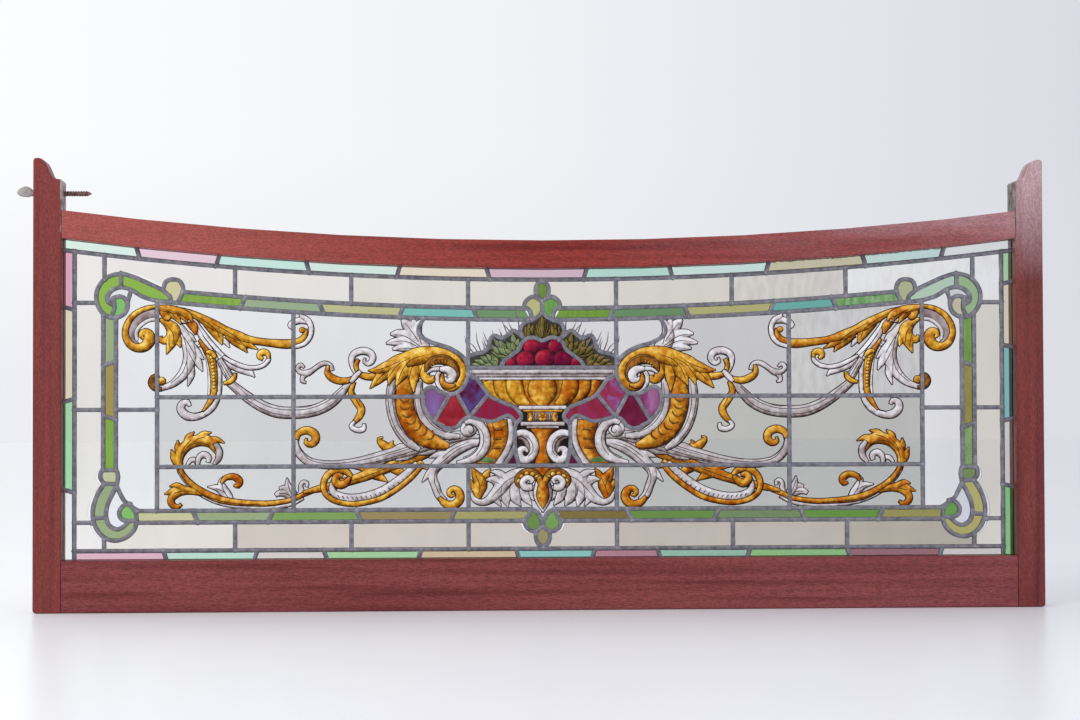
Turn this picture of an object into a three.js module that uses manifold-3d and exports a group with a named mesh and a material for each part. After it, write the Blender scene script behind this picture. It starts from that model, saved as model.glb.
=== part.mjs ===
// Leaded window sash. A mahogany frame, with horned stiles, a hollow-curved top rail and a
// deep bottom rail, holds one panel of stained and painted glass in soldered lead cames.
// Millimetres. X runs along the sash, Y from its front to its back and Z up. The origin is
// at the middle of the bottom rail's underside, halfway through the frame's depth.

import * as THREE from 'three';
import { mergeVertices } from 'three/addons/utils/BufferGeometryUtils.js';
import Module from 'manifold-3d';

const wasm = await Module();
wasm.setup();

// The frame.
const HALF_WIDTH = 600;
const FRAME_DEPTH = 40;
const STILE_WIDTH = 33;
const HORN_HEIGHT = 535;
const BOTTOM_RAIL_HEIGHT = 61;
const TOP_RAIL_HEIGHT = 33;
const TOP_RAIL_CROWN = 405;
const ARCH_RADIUS = 4580;
const EASED_EDGE = 1;
const GAP = 0.3;

// The glass panel. The cames are plain bars, as wide as the channel that they close.
const GLASS_THICKNESS = 3;
const CAME_HALF_WIDTH = 2.1;
const CAME_DEPTH = 5.5;
const EDGE_CAME_INSET = 4;

// The lead lines' own places: distances from the middle, heights, and heights at the crown
// of the leads that follow the top rail's curve.
const BORDER_X = 554;
const BORDER_Z = 71.5;
const BORDER_CROWN = 392.3;
const BAND_CROWN = 358.1;
const BAND_UNDER_CROWN = 344.3;
const BAND_SILL = 118.6;
const BAND_SILL_UNDER = 104.7;
const BAND_OUTER_X = 520.3;
const BAND_INNER_X = 505.3;
const OUTER_COLUMN_X = 457;
const INNER_COLUMN_X = 296;
const CENTRE_COLUMN_X = 88.5;
const SIDE_ROW_Z = 238.3;
const UPPER_ROW_Z = 253;
const LOWER_ROW_Z = 170.5;
const BOWL_RIM_Z = 287.3;

// The pivot screw through the left horn.
const SCREW_Z = 494.5;
const SCREW_RADIUS = 3.3;
const SCREW_HOLE_RADIUS = 3.75;
const ROUND_SIDES = 12;

// Curved leads are cut into straight runs that stray this far from the true curve.
const CURVE_STRAY = 0.55;
const CURVE_SAMPLE = 1.5;

// Height, at x, of a curve that has the top rail's radius and its lowest point at `crown`.
function archHeight(crown, x) {
  return crown + ARCH_RADIUS - Math.sqrt(ARCH_RADIUS ** 2 - x ** 2);
}

// The stretch of such a curve from one x to another.
function arch(crown, fromX, toX) {
  const steps = Math.max(1, Math.ceil(Math.abs(toX - fromX) / 120));
  return Array.from({ length: steps + 1 }, (_, i) => {
    const x = fromX + ((toX - fromX) * i) / steps;
    return [x, archHeight(crown, x)];
  });
}

// Leaves out each point that lies closer than CURVE_STRAY to the line between its neighbours.
function thinned(points) {
  const [ax, az] = points[0];
  const [bx, bz] = points[points.length - 1];
  const length = Math.hypot(bx - ax, bz - az) || 1;
  const strays = points.map(([x, z]) => Math.abs((bx - ax) * (z - az) - (bz - az) * (x - ax)) / length);
  const worst = strays.indexOf(Math.max(...strays));
  if (strays[worst] < CURVE_STRAY) return [points[0], points[points.length - 1]];
  return [...thinned(points.slice(0, worst + 1)), ...thinned(points.slice(worst)).slice(1)];
}

// A lead bent to a fair curve through the points given.
function bent(...points) {
  const curve = new THREE.SplineCurve(points.map(([x, z]) => new THREE.Vector2(x, z)));
  const samples = Math.ceil(curve.getLength() / CURVE_SAMPLE);
  return thinned(curve.getSpacedPoints(samples).map((p) => [p.x, p.y]));
}

const straight = (...points) => points;
const mirrored = (points) => points.map(([x, z]) => [-x, z]);

// A short lead across a strip, leaning by `lean` from its lower end to its upper end.
function tie(x, lowZ, highZ, lean) {
  return [[x - lean / 2, lowZ], [x + lean / 2, highZ]];
}

function solidFrom(geometry) {
  geometry.deleteAttribute('normal');
  geometry.deleteAttribute('uv');
  const merged = mergeVertices(geometry);
  return new wasm.Manifold(new wasm.Mesh({
    numProp: 3,
    vertProperties: new Float32Array(merged.attributes.position.array),
    triVerts: new Uint32Array(merged.index.array),
  }));
}

function geometryFrom(solid) {
  const { vertProperties, triVerts } = solid.getMesh();
  const geometry = new THREE.BufferGeometry();
  geometry.setAttribute('position', new THREE.BufferAttribute(vertProperties, 3));
  geometry.setIndex(new THREE.BufferAttribute(triVerts, 1));
  geometry.computeVertexNormals();
  return geometry;
}

// A flat outline in X and Z, given its thickness evenly on both sides of the glass plane.
function plate(shape, thickness, eased = 0) {
  const geometry = new THREE.ExtrudeGeometry(shape, {
    depth: thickness - 2 * eased,
    bevelEnabled: eased > 0,
    bevelThickness: eased,
    bevelSize: eased,
    bevelOffset: -eased,
    bevelSegments: 1,
    curveSegments: 5,
  });
  geometry.rotateX(Math.PI / 2);
  geometry.translate(0, thickness / 2 - eased, 0);
  return solidFrom(geometry);
}

const outline = (points) => new THREE.Shape(points.map(([x, z]) => new THREE.Vector2(x, z)));

// A bar of even width along a line of points, with mitred bends.
function bar(points, halfWidth, depth) {
  const directions = points.slice(1).map(([x, z], i) => {
    const run = new THREE.Vector2(x - points[i][0], z - points[i][1]);
    return run.normalize();
  });
  const sides = points.map(([x, z], i) => {
    const before = directions[Math.max(i - 1, 0)];
    const after = directions[Math.min(i, directions.length - 1)];
    const along = before.clone().add(after).normalize();
    const reach = halfWidth / along.dot(before);
    return [[x - along.y * reach, z + along.x * reach], [x + along.y * reach, z - along.x * reach]];
  });
  const ring = [...sides.map((side) => side[0]), ...sides.map((side) => side[1]).reverse()];
  return plate(outline(ring), depth);
}

function joined(solids) {
  return solids.reduce((whole, solid) => whole.add(solid));
}

// The panel's outer edge, moved out by `more` from the centre of the lead around it.
const stileInnerX = HALF_WIDTH - STILE_WIDTH;
function panelEdge(more) {
  const x = stileInnerX + EDGE_CAME_INSET + more;
  const bottom = BOTTOM_RAIL_HEIGHT - EDGE_CAME_INSET - more;
  return [[-x, bottom], ...arch(TOP_RAIL_CROWN + EDGE_CAME_INSET + more, -x, x), [x, bottom]];
}
const edge = panelEdge(0);
const edgeX = edge[edge.length - 1][0];
const edgeBottom = edge[0][1];
const edgeCrown = TOP_RAIL_CROWN + EDGE_CAME_INSET;

// Leads that the left and right halves share, drawn for the left half.

const fieldLeads = [
  straight([-BORDER_X, archHeight(BORDER_CROWN, BORDER_X)], [-BORDER_X, edgeBottom]),
  straight([-519, archHeight(BORDER_CROWN, 519)], [-519, 392.5]),
  straight([-519, BORDER_Z], [-519, 86]),
  straight([-BORDER_X, 365], [-528.4, 365]),
  straight([-BORDER_X, 105], [-534.2, 105]),
  straight([-BORDER_X, SIDE_ROW_Z], [-BAND_OUTER_X, SIDE_ROW_Z]),
  straight([-BAND_INNER_X, SIDE_ROW_Z], [-OUTER_COLUMN_X, SIDE_ROW_Z]),
  ...[365, 227.5, CENTRE_COLUMN_X].flatMap((x) => [
    straight([-x, archHeight(BORDER_CROWN, x)], [-x, archHeight(BAND_CROWN, x)]),
    straight([-x, BORDER_Z], [-x, BAND_SILL_UNDER]),
  ]),
];

const bandLeads = [
  arch(BAND_CROWN, -426.5, -21),
  arch(BAND_UNDER_CROWN, -OUTER_COLUMN_X, -17.5),
  straight([-480, BAND_SILL], [-14, BAND_SILL]),
  straight([-480.3, BAND_SILL_UNDER], [-23.6, BAND_SILL_UNDER]),
  straight([-BAND_OUTER_X, 350], [-BAND_OUTER_X, 167]),
  straight([-BAND_INNER_X, 347.5], [-BAND_INNER_X, 167]),
  straight([-BAND_OUTER_X, 167], [-BAND_INNER_X, 167]),
];

const gridLeads = [
  straight([-OUTER_COLUMN_X, archHeight(BAND_UNDER_CROWN, OUTER_COLUMN_X)], [-OUTER_COLUMN_X, BAND_SILL]),
  straight([-INNER_COLUMN_X, archHeight(BAND_UNDER_CROWN, INNER_COLUMN_X)], [-INNER_COLUMN_X, BAND_SILL]),
  straight([-CENTRE_COLUMN_X, archHeight(BAND_UNDER_CROWN, CENTRE_COLUMN_X)], [-CENTRE_COLUMN_X, 279.5]),
  straight([-CENTRE_COLUMN_X, LOWER_ROW_Z], [-CENTRE_COLUMN_X, BAND_SILL]),
  straight([-OUTER_COLUMN_X, UPPER_ROW_Z], [-142.4, UPPER_ROW_Z]),
];

// The looped ribbon, crescent and ball in the upper corner, and the round bud beside them.
const upperCornerLeads = [
  bent([-450, 383.5], [-467, 391], [-485, 397.8], [-500, 399.8], [-516, 395], [-526, 383.5],
    [-528.6, 370], [-524, 356.5], [-515, 348.6], [-505, 347]),
  bent([-457, 367], [-474, 372.2], [-487, 380], [-499.5, 383.4], [-510.5, 379.3], [-515.8, 371.2],
    [-513.5, 365], [-508.3, 362.5]),
  straight([-499.5, 383.5], [-499.5, 399.8]),
  bent([-514.5, 366.5], [-507.5, 371], [-500.5, 372.6], [-494.5, 369.5], [-491.5, 362.5],
    [-494, 354], [-499.5, 349.2], [-505.3, 347]),
  bent([-508.5, 370.5], [-507.3, 360.3], [-508.5, 354], [-512, 348.3]),
  bent([-487.5, 380], [-489.5, 373.5], [-491.7, 366]),
  bent([-450, 383.5], [-446.8, 389.8], [-438.3, 392.8], [-430.2, 390.4], [-426.3, 382.5],
    [-428, 374.5], [-433, 365]),
  bent([-450, 383.5], [-445.6, 377.5], [-441.8, 372.5], [-441, 365.8]),
];

// The small round, the ribbon, the crescent and the ball in the lower corner.
const lowerCornerLeads = [
  bent([-520.3, 168], [-525.3, 163], [-526, 156], [-520.8, 149.8]),
  bent([-505.3, 167], [-502.2, 159.5], [-504.2, 147]),
  straight([-521, 150.8], [-504, 150.8]),
  bent([-520.8, 149.8], [-529.5, 137.5], [-535, 123], [-535, 109], [-529.5, 95.8], [-519, 86],
    [-507, 83.6], [-494, 87], [-484.5, 95.5], [-480.3, 106]),
  bent([-504.2, 147], [-511, 137.2], [-517.3, 124.5], [-519.2, 112.5], [-515.6, 101.5],
    [-506, 96.8], [-496.8, 100.5], [-492, 106.5]),
  straight([-534.8, 110], [-519.2, 111]),
  bent([-504.2, 147], [-496, 131.5], [-486.5, 123.8], [-479, BAND_SILL]),
  bent([-491, 126.8], [-499, 124.8], [-504.2, 117.5], [-502.6, 109.8], [-496, 106.4], [-480.3, 107]),
  bent([-487, 124], [-482, 116.5], [-480.3, 104.7]),
];

// The bud over the middle, its two leaves, the foliage and the fruit below them.
const crestLeads = [
  bent([0, 391], [-5.8, 387], [-7.8, 380], [-6.4, 372.5], [0, 365.5]),
  bent([-21.5, 358.1], [-20, 366], [-12, 371.8], [-3.5, 369.4]),
  bent([-22, 359], [-17, 357.5], [-13.8, 352.5], [-12.8, 344.2]),
  bent([-25.2, 325.2], [-26.3, 332], [-22, 340.3], [-11.5, 344.6], [-4.5, 348.6], [0, 354.6]),
  bent([-88.5, 300.5], [-79, 304], [-71, 305.6], [-65, 310.5], [-62, 321], [-57.5, 325.6],
    [-48.5, 322.6], [-41.5, 326], [-34.5, 331.4], [-25.2, 325.2]),
  straight([-25.2, 325.2], [-20.5, 320.5]),
];

// The scroll over the volute, the round of the ruby and violet pieces, and the bowl's edge.
const scrollLeads = [
  bent([-141, 346.5], [-147.6, 334.5], [-145, 325], [-132, 317.4], [-112, 311], [-98, 302.8],
    [-88.5, 292.5]),
  bent([-88.5, 279.5], [-91.7, 269.2], [-99.4, 259.6], [-110.3, 255.1], [-121.8, 258.3],
    [-131, 264], [-139, 261.3], [-142.4, 252.5], [-141, 240.5], [-134.6, 229.5], [-124.4, 220.5],
    [-111.5, 214.6], [-101.5, 217.3], [-94.5, 225], [-87, 228.8]),
  straight([-110.5, 255.1], [-128.8, 224.5]),
  straight([-87, 228.8], [-102.3, 257]),
  straight([-87, 228.8], [-65.5, 254.8]),
  bent([-87, 228.8], [-73, 225], [-60, 223.2], [-49, 227.5], [-40, 229.9], [-32, 221.5]),
  bent([-88.5, 279.5], [-78, 273.5], [-69.5, 261.5], [-61, 252.2], [-46, 245.3], [-34, 240.5],
    [-26.5, 232.5], [-26, 226.5], [-32, 219.5], [-33.3, 205], [-32.5, 189], [-28.5, LOWER_ROW_Z]),
  bent([-33.5, 193], [-37.5, 183.5], [-47, LOWER_ROW_Z]),
];

// The two leaves and the bud below the middle.
const pendantLeads = [
  bent([-16, BAND_SILL], [-7.5, 115.8], [-2.5, 109], [0, 98.5]),
  bent([-14, BAND_SILL], [-20, 111.5], [-23.8, 103.5], [-21, 96.5], [-12.8, 91.6], [-5, 94.3],
    [0, 99.5]),
  bent([-8.2, 92.5], [-9.2, 85.5], [-6, 78], [0, 73.5]),
];

const leftHalf = [
  ...fieldLeads, ...bandLeads, ...gridLeads, ...upperCornerLeads,
  ...lowerCornerLeads, ...crestLeads, ...scrollLeads, ...pendantLeads,
];

// The edge of the fruit, from the bowl's rim to the middle of its top.
const fruitEdge = [
  [-50, BOWL_RIM_Z], [-46, 295], [-37, 302], [-28.5, 308.6], [-24.6, 316.5], [-18.5, 322], [-9.5, 323], [0, 319.4],
];

// Leads that run right across, and the short ties between pieces of one strip, which the
// two halves do not share. Each tie is given as a place along its strip and a lean.
const TOP_BORDER_TIES = [
  [-480, -5], [-385, 5], [-279.5, -5], [-171, 5], [-65, -5], [52, 5], [154, -5], [271, 5], [387, -5], [483, 5],
];
const BOTTOM_BORDER_TIES = [
  [-447, -5], [-341, 5], [-258, -5], [-147, 5], [-30, -4], [60, 5], [139, -5], [246, 5], [367, -5], [478, 5],
];
const TOP_BAND_TIES = [
  [-356, 6], [-263, -6], [-168, 6], [-80, -5], [83, 6], [173, -6], [276, 6], [351, -6],
];
const BOTTOM_BAND_TIES = [
  [-412, -6], [-323, 6], [-219, -6], [-107, 6], [103, -6], [208, 6], [311, -6], [406, 6],
];
const LEFT_BORDER_TIES = [[359, -5], [249, 5], [143, -5]];
const RIGHT_BORDER_TIES = [[389, 4], [312, -4], [224, 4], [144, -4]];
const LEFT_BAND_TIES = [[293, 5], [229, -5]];
const RIGHT_BAND_TIES = [[291, -5], [217, 5]];

// A tie across an upright strip, from its left lead to its right one.
const crossTie = (fromX, toX, z, rise) => [[fromX, z - rise / 2], [toX, z + rise / 2]];

const wholeWidthLeads = [
  straight(edge[0], edge[edge.length - 1]),
  straight(edge[0], edge[1]),
  straight(edge[edge.length - 1], edge[edge.length - 2]),
  arch(edgeCrown, -edgeX, edgeX),
  arch(BORDER_CROWN, -edgeX, edgeX),
  straight([-BORDER_X, BORDER_Z], [BORDER_X, BORDER_Z]),
  straight([-OUTER_COLUMN_X, LOWER_ROW_Z], [OUTER_COLUMN_X, LOWER_ROW_Z]),
  straight([-CENTRE_COLUMN_X, BOWL_RIM_Z], [CENTRE_COLUMN_X, BOWL_RIM_Z]),
  bent(...fruitEdge, ...mirrored(fruitEdge.slice(0, -1)).reverse()),
  straight([0, 367], [0, 353]),
  ...TOP_BORDER_TIES.map(([x, lean]) => tie(x, archHeight(BORDER_CROWN, x), archHeight(edgeCrown, x), lean)),
  ...BOTTOM_BORDER_TIES.map(([x, lean]) => tie(x, edgeBottom, BORDER_Z, lean)),
  ...TOP_BAND_TIES.map(([x, lean]) => tie(x, archHeight(BAND_UNDER_CROWN, x), archHeight(BAND_CROWN, x), lean)),
  ...BOTTOM_BAND_TIES.map(([x, lean]) => tie(x, BAND_SILL_UNDER, BAND_SILL, lean)),
  ...LEFT_BORDER_TIES.map(([z, rise]) => crossTie(-edgeX, -BORDER_X, z, rise)),
  ...RIGHT_BORDER_TIES.map(([z, rise]) => crossTie(BORDER_X, edgeX, z, rise)),
  ...LEFT_BAND_TIES.map(([z, rise]) => crossTie(-BAND_OUTER_X, -BAND_INNER_X, z, rise)),
  ...RIGHT_BAND_TIES.map(([z, rise]) => crossTie(BAND_INNER_X, BAND_OUTER_X, z, rise)),
];

const leadLines = [...wholeWidthLeads, ...leftHalf, ...leftHalf.map(mirrored)];
const leadNet = joined(leadLines.map((line) => bar(line, CAME_HALF_WIDTH, CAME_DEPTH)));

// The glass: the whole sheet inside the edge lead, cut along every lead line.
const cutWidth = CAME_HALF_WIDTH + GAP;
const cuts = joined(leadLines.map((line) => bar(line, cutWidth, CAME_DEPTH)));
const glassPieces = plate(outline(edge), GLASS_THICKNESS).subtract(cuts).decompose();

// Whether a piece of glass has the point x, z inside its outline.
function covers(piece, x, z) {
  const { vertProperties, triVerts } = piece.getMesh();
  const corner = (index) => [vertProperties[3 * index], vertProperties[3 * index + 2]];
  const side = ([ax, az], [bx, bz]) => Math.sign((bx - ax) * (z - az) - (bz - az) * (x - ax));
  for (let i = 0; i < triVerts.length; i += 3) {
    const [a, b, c] = [corner(triVerts[i]), corner(triVerts[i + 1]), corner(triVerts[i + 2])];
    const turns = side(a, b) + side(b, c) + side(c, a);
    if (Math.abs(turns) === 3) return true;
  }
  return false;
}

// The larger pieces of glass, each known by a point on it. One of each pair is on the left.
const CLEAR_GLASS = {
  field_corner_top: [-537, 400],
  field_top_outer: [-430, 405],
  field_top_second: [-296, 385],
  field_top_third: [-158, 378],
  field_top_inner: [-50, 378],
  field_side_upper: [-537, 300],
  field_side_lower: [-545, 180],
  field_corner_bottom: [-545, 88],
  field_bottom_outer: [-430, 88],
  field_bottom_second: [-296, 88],
  field_bottom_third: [-158, 88],
  field_bottom_inner: [-50, 88],
  column_upper: [-480, 300],
  column_lower: [-475, 180],
  spray_light: [-78, 330],
  scroll_light: [-110, 330],
};
const PAINTED_GLASS = {
  outer_top: [-400, 300],
  outer_middle: [-400, 210],
  outer_bottom: [-400, 145],
  inner_top: [-220, 300],
  inner_middle: [-220, 210],
  inner_bottom: [-220, 145],
};
const JEWEL_GLASS = {
  ruby_kite: [-110, 235],
  violet_diamond: [-85, 255],
};
const FOLIAGE_GLASS = {
  spread: [-60, 300],
};

const finish = (colour, roughness, metalness = 0) => (
  new THREE.MeshStandardMaterial({ color: colour, roughness, metalness })
);

const window = new THREE.Group();

function addNode(name, solid, material) {
  const mesh = new THREE.Mesh(geometryFrom(solid), material);
  mesh.name = name;
  window.add(mesh);
}

function addGlass(name, [x, z], makeMaterial) {
  addNode(name, glassPieces.find((piece) => covers(piece, x, z)), makeMaterial());
}

function addGlassPairs(kind, places, makeMaterial) {
  for (const [name, [x, z]] of Object.entries(places)) {
    addGlass(`${kind}_${name}_left`, [x, z], makeMaterial);
    addGlass(`${kind}_${name}_right`, [-x, z], makeMaterial);
  }
}

// A stile with its horn, as a shape seen from the front. `side` is -1 for the left stile and
// 1 for the right. The horn falls from its tall outer edge to a shoulder in a wave.
function stileShape(side) {
  const x = (fromOuterFace) => side * (HALF_WIDTH - fromOuterFace);
  const footRadius = 4;
  const shoulder = HORN_HEIGHT - 25;
  const shape = new THREE.Shape();
  shape.moveTo(x(0), footRadius);
  shape.lineTo(x(0), HORN_HEIGHT - 4);
  shape.quadraticCurveTo(x(0), HORN_HEIGHT, x(4), HORN_HEIGHT);
  shape.lineTo(x(7), HORN_HEIGHT);
  shape.bezierCurveTo(x(13), HORN_HEIGHT - 1, x(16), HORN_HEIGHT - 9, x(19), HORN_HEIGHT - 17);
  shape.bezierCurveTo(x(21), shoulder + 3, x(25), shoulder, x(30), shoulder);
  shape.quadraticCurveTo(x(STILE_WIDTH), shoulder, x(STILE_WIDTH), shoulder - 3);
  shape.lineTo(x(STILE_WIDTH), 0);
  shape.lineTo(x(footRadius), 0);
  shape.quadraticCurveTo(x(0), 0, x(0), footRadius);
  return shape;
}

// The groove that holds the panel, cut from all four members as one solid.
const groove = plate(outline(panelEdge(cutWidth)), CAME_DEPTH + 2 * GAP);

function screwHole(side) {
  const hole = new THREE.CylinderGeometry(SCREW_HOLE_RADIUS, SCREW_HOLE_RADIUS, 2 * STILE_WIDTH, ROUND_SIDES);
  hole.rotateZ(Math.PI / 2);
  hole.translate(side * (HALF_WIDTH - STILE_WIDTH / 2), 0, SCREW_Z);
  return solidFrom(hole);
}

function stile(side) {
  return plate(stileShape(side), FRAME_DEPTH, EASED_EDGE).subtract(groove).subtract(screwHole(side));
}

// A rail is made too long, eased along its edges, and then cut square between the stiles.
function rail(points) {
  const reach = stileInnerX - GAP;
  const between = outline([[-reach, -1], [reach, -1], [reach, HORN_HEIGHT], [-reach, HORN_HEIGHT]]);
  return plate(outline(points), FRAME_DEPTH, EASED_EDGE)
    .intersect(plate(between, 2 * FRAME_DEPTH))
    .subtract(groove);
}

function topRail() {
  const under = arch(TOP_RAIL_CROWN, -HALF_WIDTH, HALF_WIDTH);
  const over = arch(TOP_RAIL_CROWN + TOP_RAIL_HEIGHT, HALF_WIDTH, -HALF_WIDTH);
  return rail([...under, ...over]);
}

function bottomRail() {
  const x = HALF_WIDTH;
  return rail([[-x, 0], [x, 0], [x, BOTTOM_RAIL_HEIGHT], [-x, BOTTOM_RAIL_HEIGHT]]);
}

// The pivot screw: a plain shank in the horn, a tapered point inside it and, outside, a
// short neck that is beaten flat into a leaf-shaped head.
function pivotScrew() {
  const innerFace = -stileInnerX;
  const profile = [
    [0, innerFace + 33], [1.4, innerFace + 32.5], [2.9, innerFace + 22], [SCREW_RADIUS, innerFace + 4],
    [SCREW_RADIUS, -HALF_WIDTH - 4], [2.3, -HALF_WIDTH - 9], [0, -HALF_WIDTH - 14],
  ];
  const shank = new THREE.LatheGeometry(profile.map(([r, x]) => new THREE.Vector2(r, -x)), ROUND_SIDES);
  shank.rotateZ(Math.PI / 2);
  shank.translate(0, 0, SCREW_Z);
  const head = bent([-601.5, 495], [-604, 499.5], [-611, 503.2], [-618.5, 500.5], [-622, 495.5],
    [-618, 491.6], [-610, 490.2], [-604, 491.8]);
  return solidFrom(shank).add(plate(outline(head), 4, 1));
}

addNode('left_stile', stile(-1), finish('#7f3a36', 0.45));
addNode('right_stile', stile(1), finish('#7f3a36', 0.45));
addNode('top_rail', topRail(), finish('#863c37', 0.45));
addNode('bottom_rail', bottomRail(), finish('#7a3431', 0.45));
addNode('lead_cames', leadNet, finish('#77767e', 0.55, 0.6));
addNode('pivot_screw', pivotScrew(), finish('#6b5850', 0.75, 0.5));
addGlassPairs('clear', CLEAR_GLASS, () => finish('#e8e6e0', 0.1));
addGlassPairs('painted', PAINTED_GLASS, () => finish('#e6e6ea', 0.15));
addGlassPairs('jewel', JEWEL_GLASS, () => finish('#8c1838', 0.1));
addGlassPairs('foliage', FOLIAGE_GLASS, () => finish('#6a6b3c', 0.2));
addGlass('foliage_crest', [0, 335], () => finish('#6a6b3c', 0.2));
addGlass('fruit', [0, 300], () => finish('#8c1838', 0.2));
addGlass('painted_urn', [0, 260], () => finish('#c98f2e', 0.2));
addGlass('painted_cartouche', [0, 140], () => finish('#e6e6ea', 0.15));

export default window;
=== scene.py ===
import bpy
import numpy as np
from mathutils import Matrix


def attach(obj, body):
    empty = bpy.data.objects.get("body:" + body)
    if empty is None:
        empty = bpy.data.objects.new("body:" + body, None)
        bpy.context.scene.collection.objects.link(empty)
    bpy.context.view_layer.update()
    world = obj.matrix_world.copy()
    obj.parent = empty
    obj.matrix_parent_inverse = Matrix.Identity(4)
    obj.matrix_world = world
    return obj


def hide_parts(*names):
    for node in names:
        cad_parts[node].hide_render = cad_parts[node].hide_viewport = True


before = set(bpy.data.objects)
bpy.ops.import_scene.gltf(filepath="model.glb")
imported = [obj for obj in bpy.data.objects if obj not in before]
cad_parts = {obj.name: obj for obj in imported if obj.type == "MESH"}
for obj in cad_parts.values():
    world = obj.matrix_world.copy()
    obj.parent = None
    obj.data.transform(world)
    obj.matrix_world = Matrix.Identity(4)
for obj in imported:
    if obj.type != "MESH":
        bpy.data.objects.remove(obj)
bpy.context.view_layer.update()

# ---------------------------------------------------------------------------------------
# The room: a plain white floor of smooth lacquered board under even white light, with a
# large soft lamp on the left and a lower, wider one on the right that gives the varnish
# its sheen. None of it belongs to the window.

def srgb(code, alpha=1.0):
    """The linear colour of an sRGB hex value: each channel below 0.04045 is divided by 12.92, and
    each above it is ((c + 0.055) / 1.055) to the power 2.4."""
    c = np.array([int(code[i:i + 2], 16) for i in (1, 3, 5)]) / 255
    linear = np.where(c <= 0.04045, c / 12.92, ((c + 0.055) / 1.055) ** 2.4)
    return (*linear.tolist(), alpha)


def wire(tree, made, inputs):
    """Fills a node's sockets with plain values, with other nodes' outputs or with whole nodes. A whole
    node stands for the first of its outputs that its settings leave in use."""
    for socket, value in inputs.items():
        if isinstance(value, bpy.types.Node):
            value = next(output for output in value.outputs if output.enabled)
        if isinstance(value, bpy.types.NodeSocket):
            tree.links.new(value, made.inputs[socket])
        else:
            made.inputs[socket].default_value = value


def node(tree, kind, inputs=(), stops=(), **settings):
    """Adds a node. `settings` are its own properties, `inputs` goes to its sockets, and `stops` are the
    places and colours of a ramp."""
    made = tree.nodes.new(kind)
    for name, value in settings.items():
        setattr(made, name, value)
    wire(tree, made, dict(inputs))
    for i, (place, colour) in enumerate(stops):
        if i > 1:
            made.color_ramp.elements.new(place)
        made.color_ramp.elements[i].position = place
        made.color_ramp.elements[i].color = srgb(colour)
    return made


def finish(name, values):
    """A new material whose Principled shader has the plain values given. Gives back the material, its
    node tree, the shader and the place on the object that its patterns follow."""
    made = bpy.data.materials.new(name)
    made.use_nodes = True
    tree = made.node_tree
    shader = tree.nodes["Principled BSDF"]
    wire(tree, shader, values)
    return made, tree, shader, node(tree, "ShaderNodeTexCoord").outputs["Object"]


def mesh_object(name, parts, material, attributes=()):
    """One object from parts, each a pair of its points and its groups of faces. Points are in
    millimetres and are written in metres; a third entry holds a value at each point by attribute."""
    points, faces, values = [], [], {a: [] for a in attributes}
    start = 0
    for part in parts:
        points.append(part[0])
        faces += [row for group in part[1] for row in (np.asarray(group) + start).tolist()]
        for a in attributes:
            values[a].append(part[2][a])
        start += len(part[0])
    mesh = bpy.data.meshes.new(name)
    mesh.from_pydata((np.concatenate(points) / 1000).tolist(), [], faces)
    for a in attributes:
        flat = np.concatenate(values[a]).astype(np.float32)
        kind = "FLOAT_COLOR" if flat.ndim == 2 else "FLOAT"
        mesh.attributes.new(a, kind, "POINT").data.foreach_set(
            "color" if flat.ndim == 2 else "value", flat.ravel())
    mesh.update()
    made = bpy.data.objects.new(name, mesh)
    bpy.context.scene.collection.objects.link(made)
    mesh.materials.append(material)
    return made


def grid_faces(rows, columns, ring=False):
    """The quads of a grid of points stored row by row, so that each joins a point to its right-hand
    neighbour and to the two in the next row. In a ring the last column joins the first."""
    r, c = np.meshgrid(np.arange(rows - 1), np.arange(columns if ring else columns - 1), indexing="ij")
    here = r * columns + c
    beside = r * columns + (c + 1) % columns
    return np.stack([here, beside, beside + columns, here + columns], -1).reshape(-1, 4)


FLOOR_RADIUS = 30000
FLOOR_HEIGHT = -0.4
FLOOR_RINGS = 25
FLOOR_SPOKES = 64
floor_radii = np.concatenate([[1.0], np.geomspace(100, FLOOR_RADIUS, FLOOR_RINGS - 1)])[:, None]
floor_angles = np.linspace(0, 2 * np.pi, FLOOR_SPOKES, endpoint=False)
floor_points = np.stack([
    floor_radii * np.cos(floor_angles), floor_radii * np.sin(floor_angles),
    np.full((FLOOR_RINGS, FLOOR_SPOKES), FLOOR_HEIGHT)], -1).reshape(-1, 3)

# White lacquer on board: faintly clouded, with painted shade that makes it a little greyer towards the right.
board, tree, shader, place = finish("white_lacquered_board", {
    "Roughness": 0.3, "Specular IOR Level": 0.12})
clouding = node(tree, "ShaderNodeTexNoise", {"Vector": place, "Scale": 0.8, "Detail": 2.0})
tone = node(tree, "ShaderNodeValToRGB", {"Fac": clouding}, stops=[(0.3, "#fcfcfe"), (0.7, "#ffffff")])
board_place = node(tree, "ShaderNodeSeparateXYZ", {"Vector": place})
across = node(tree, "ShaderNodeMapRange", {
    "Value": board_place.outputs["X"], "From Min": -0.7, "From Max": 0.9})
painted_shade_to_right = node(tree, "ShaderNodeValToRGB", {"Fac": across},
              stops=[(0.0, "#fdffff"), (0.45, "#f5f6fa"), (1.0, "#eaebef")])
clouded_and_shaded = node(tree, "ShaderNodeMix", {"Factor": 1.0, 6: tone, 7: painted_shade_to_right}, data_type="RGBA",
                blend_type="MULTIPLY")
wire(tree, shader, {"Base Color": clouded_and_shaded})
floor_faces = [grid_faces(FLOOR_RINGS, FLOOR_SPOKES, ring=True), np.arange(FLOOR_SPOKES)[None, ::-1]]
floor = mesh_object("floor", [(floor_points, floor_faces)], board)
floor.data.flip_normals()

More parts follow.
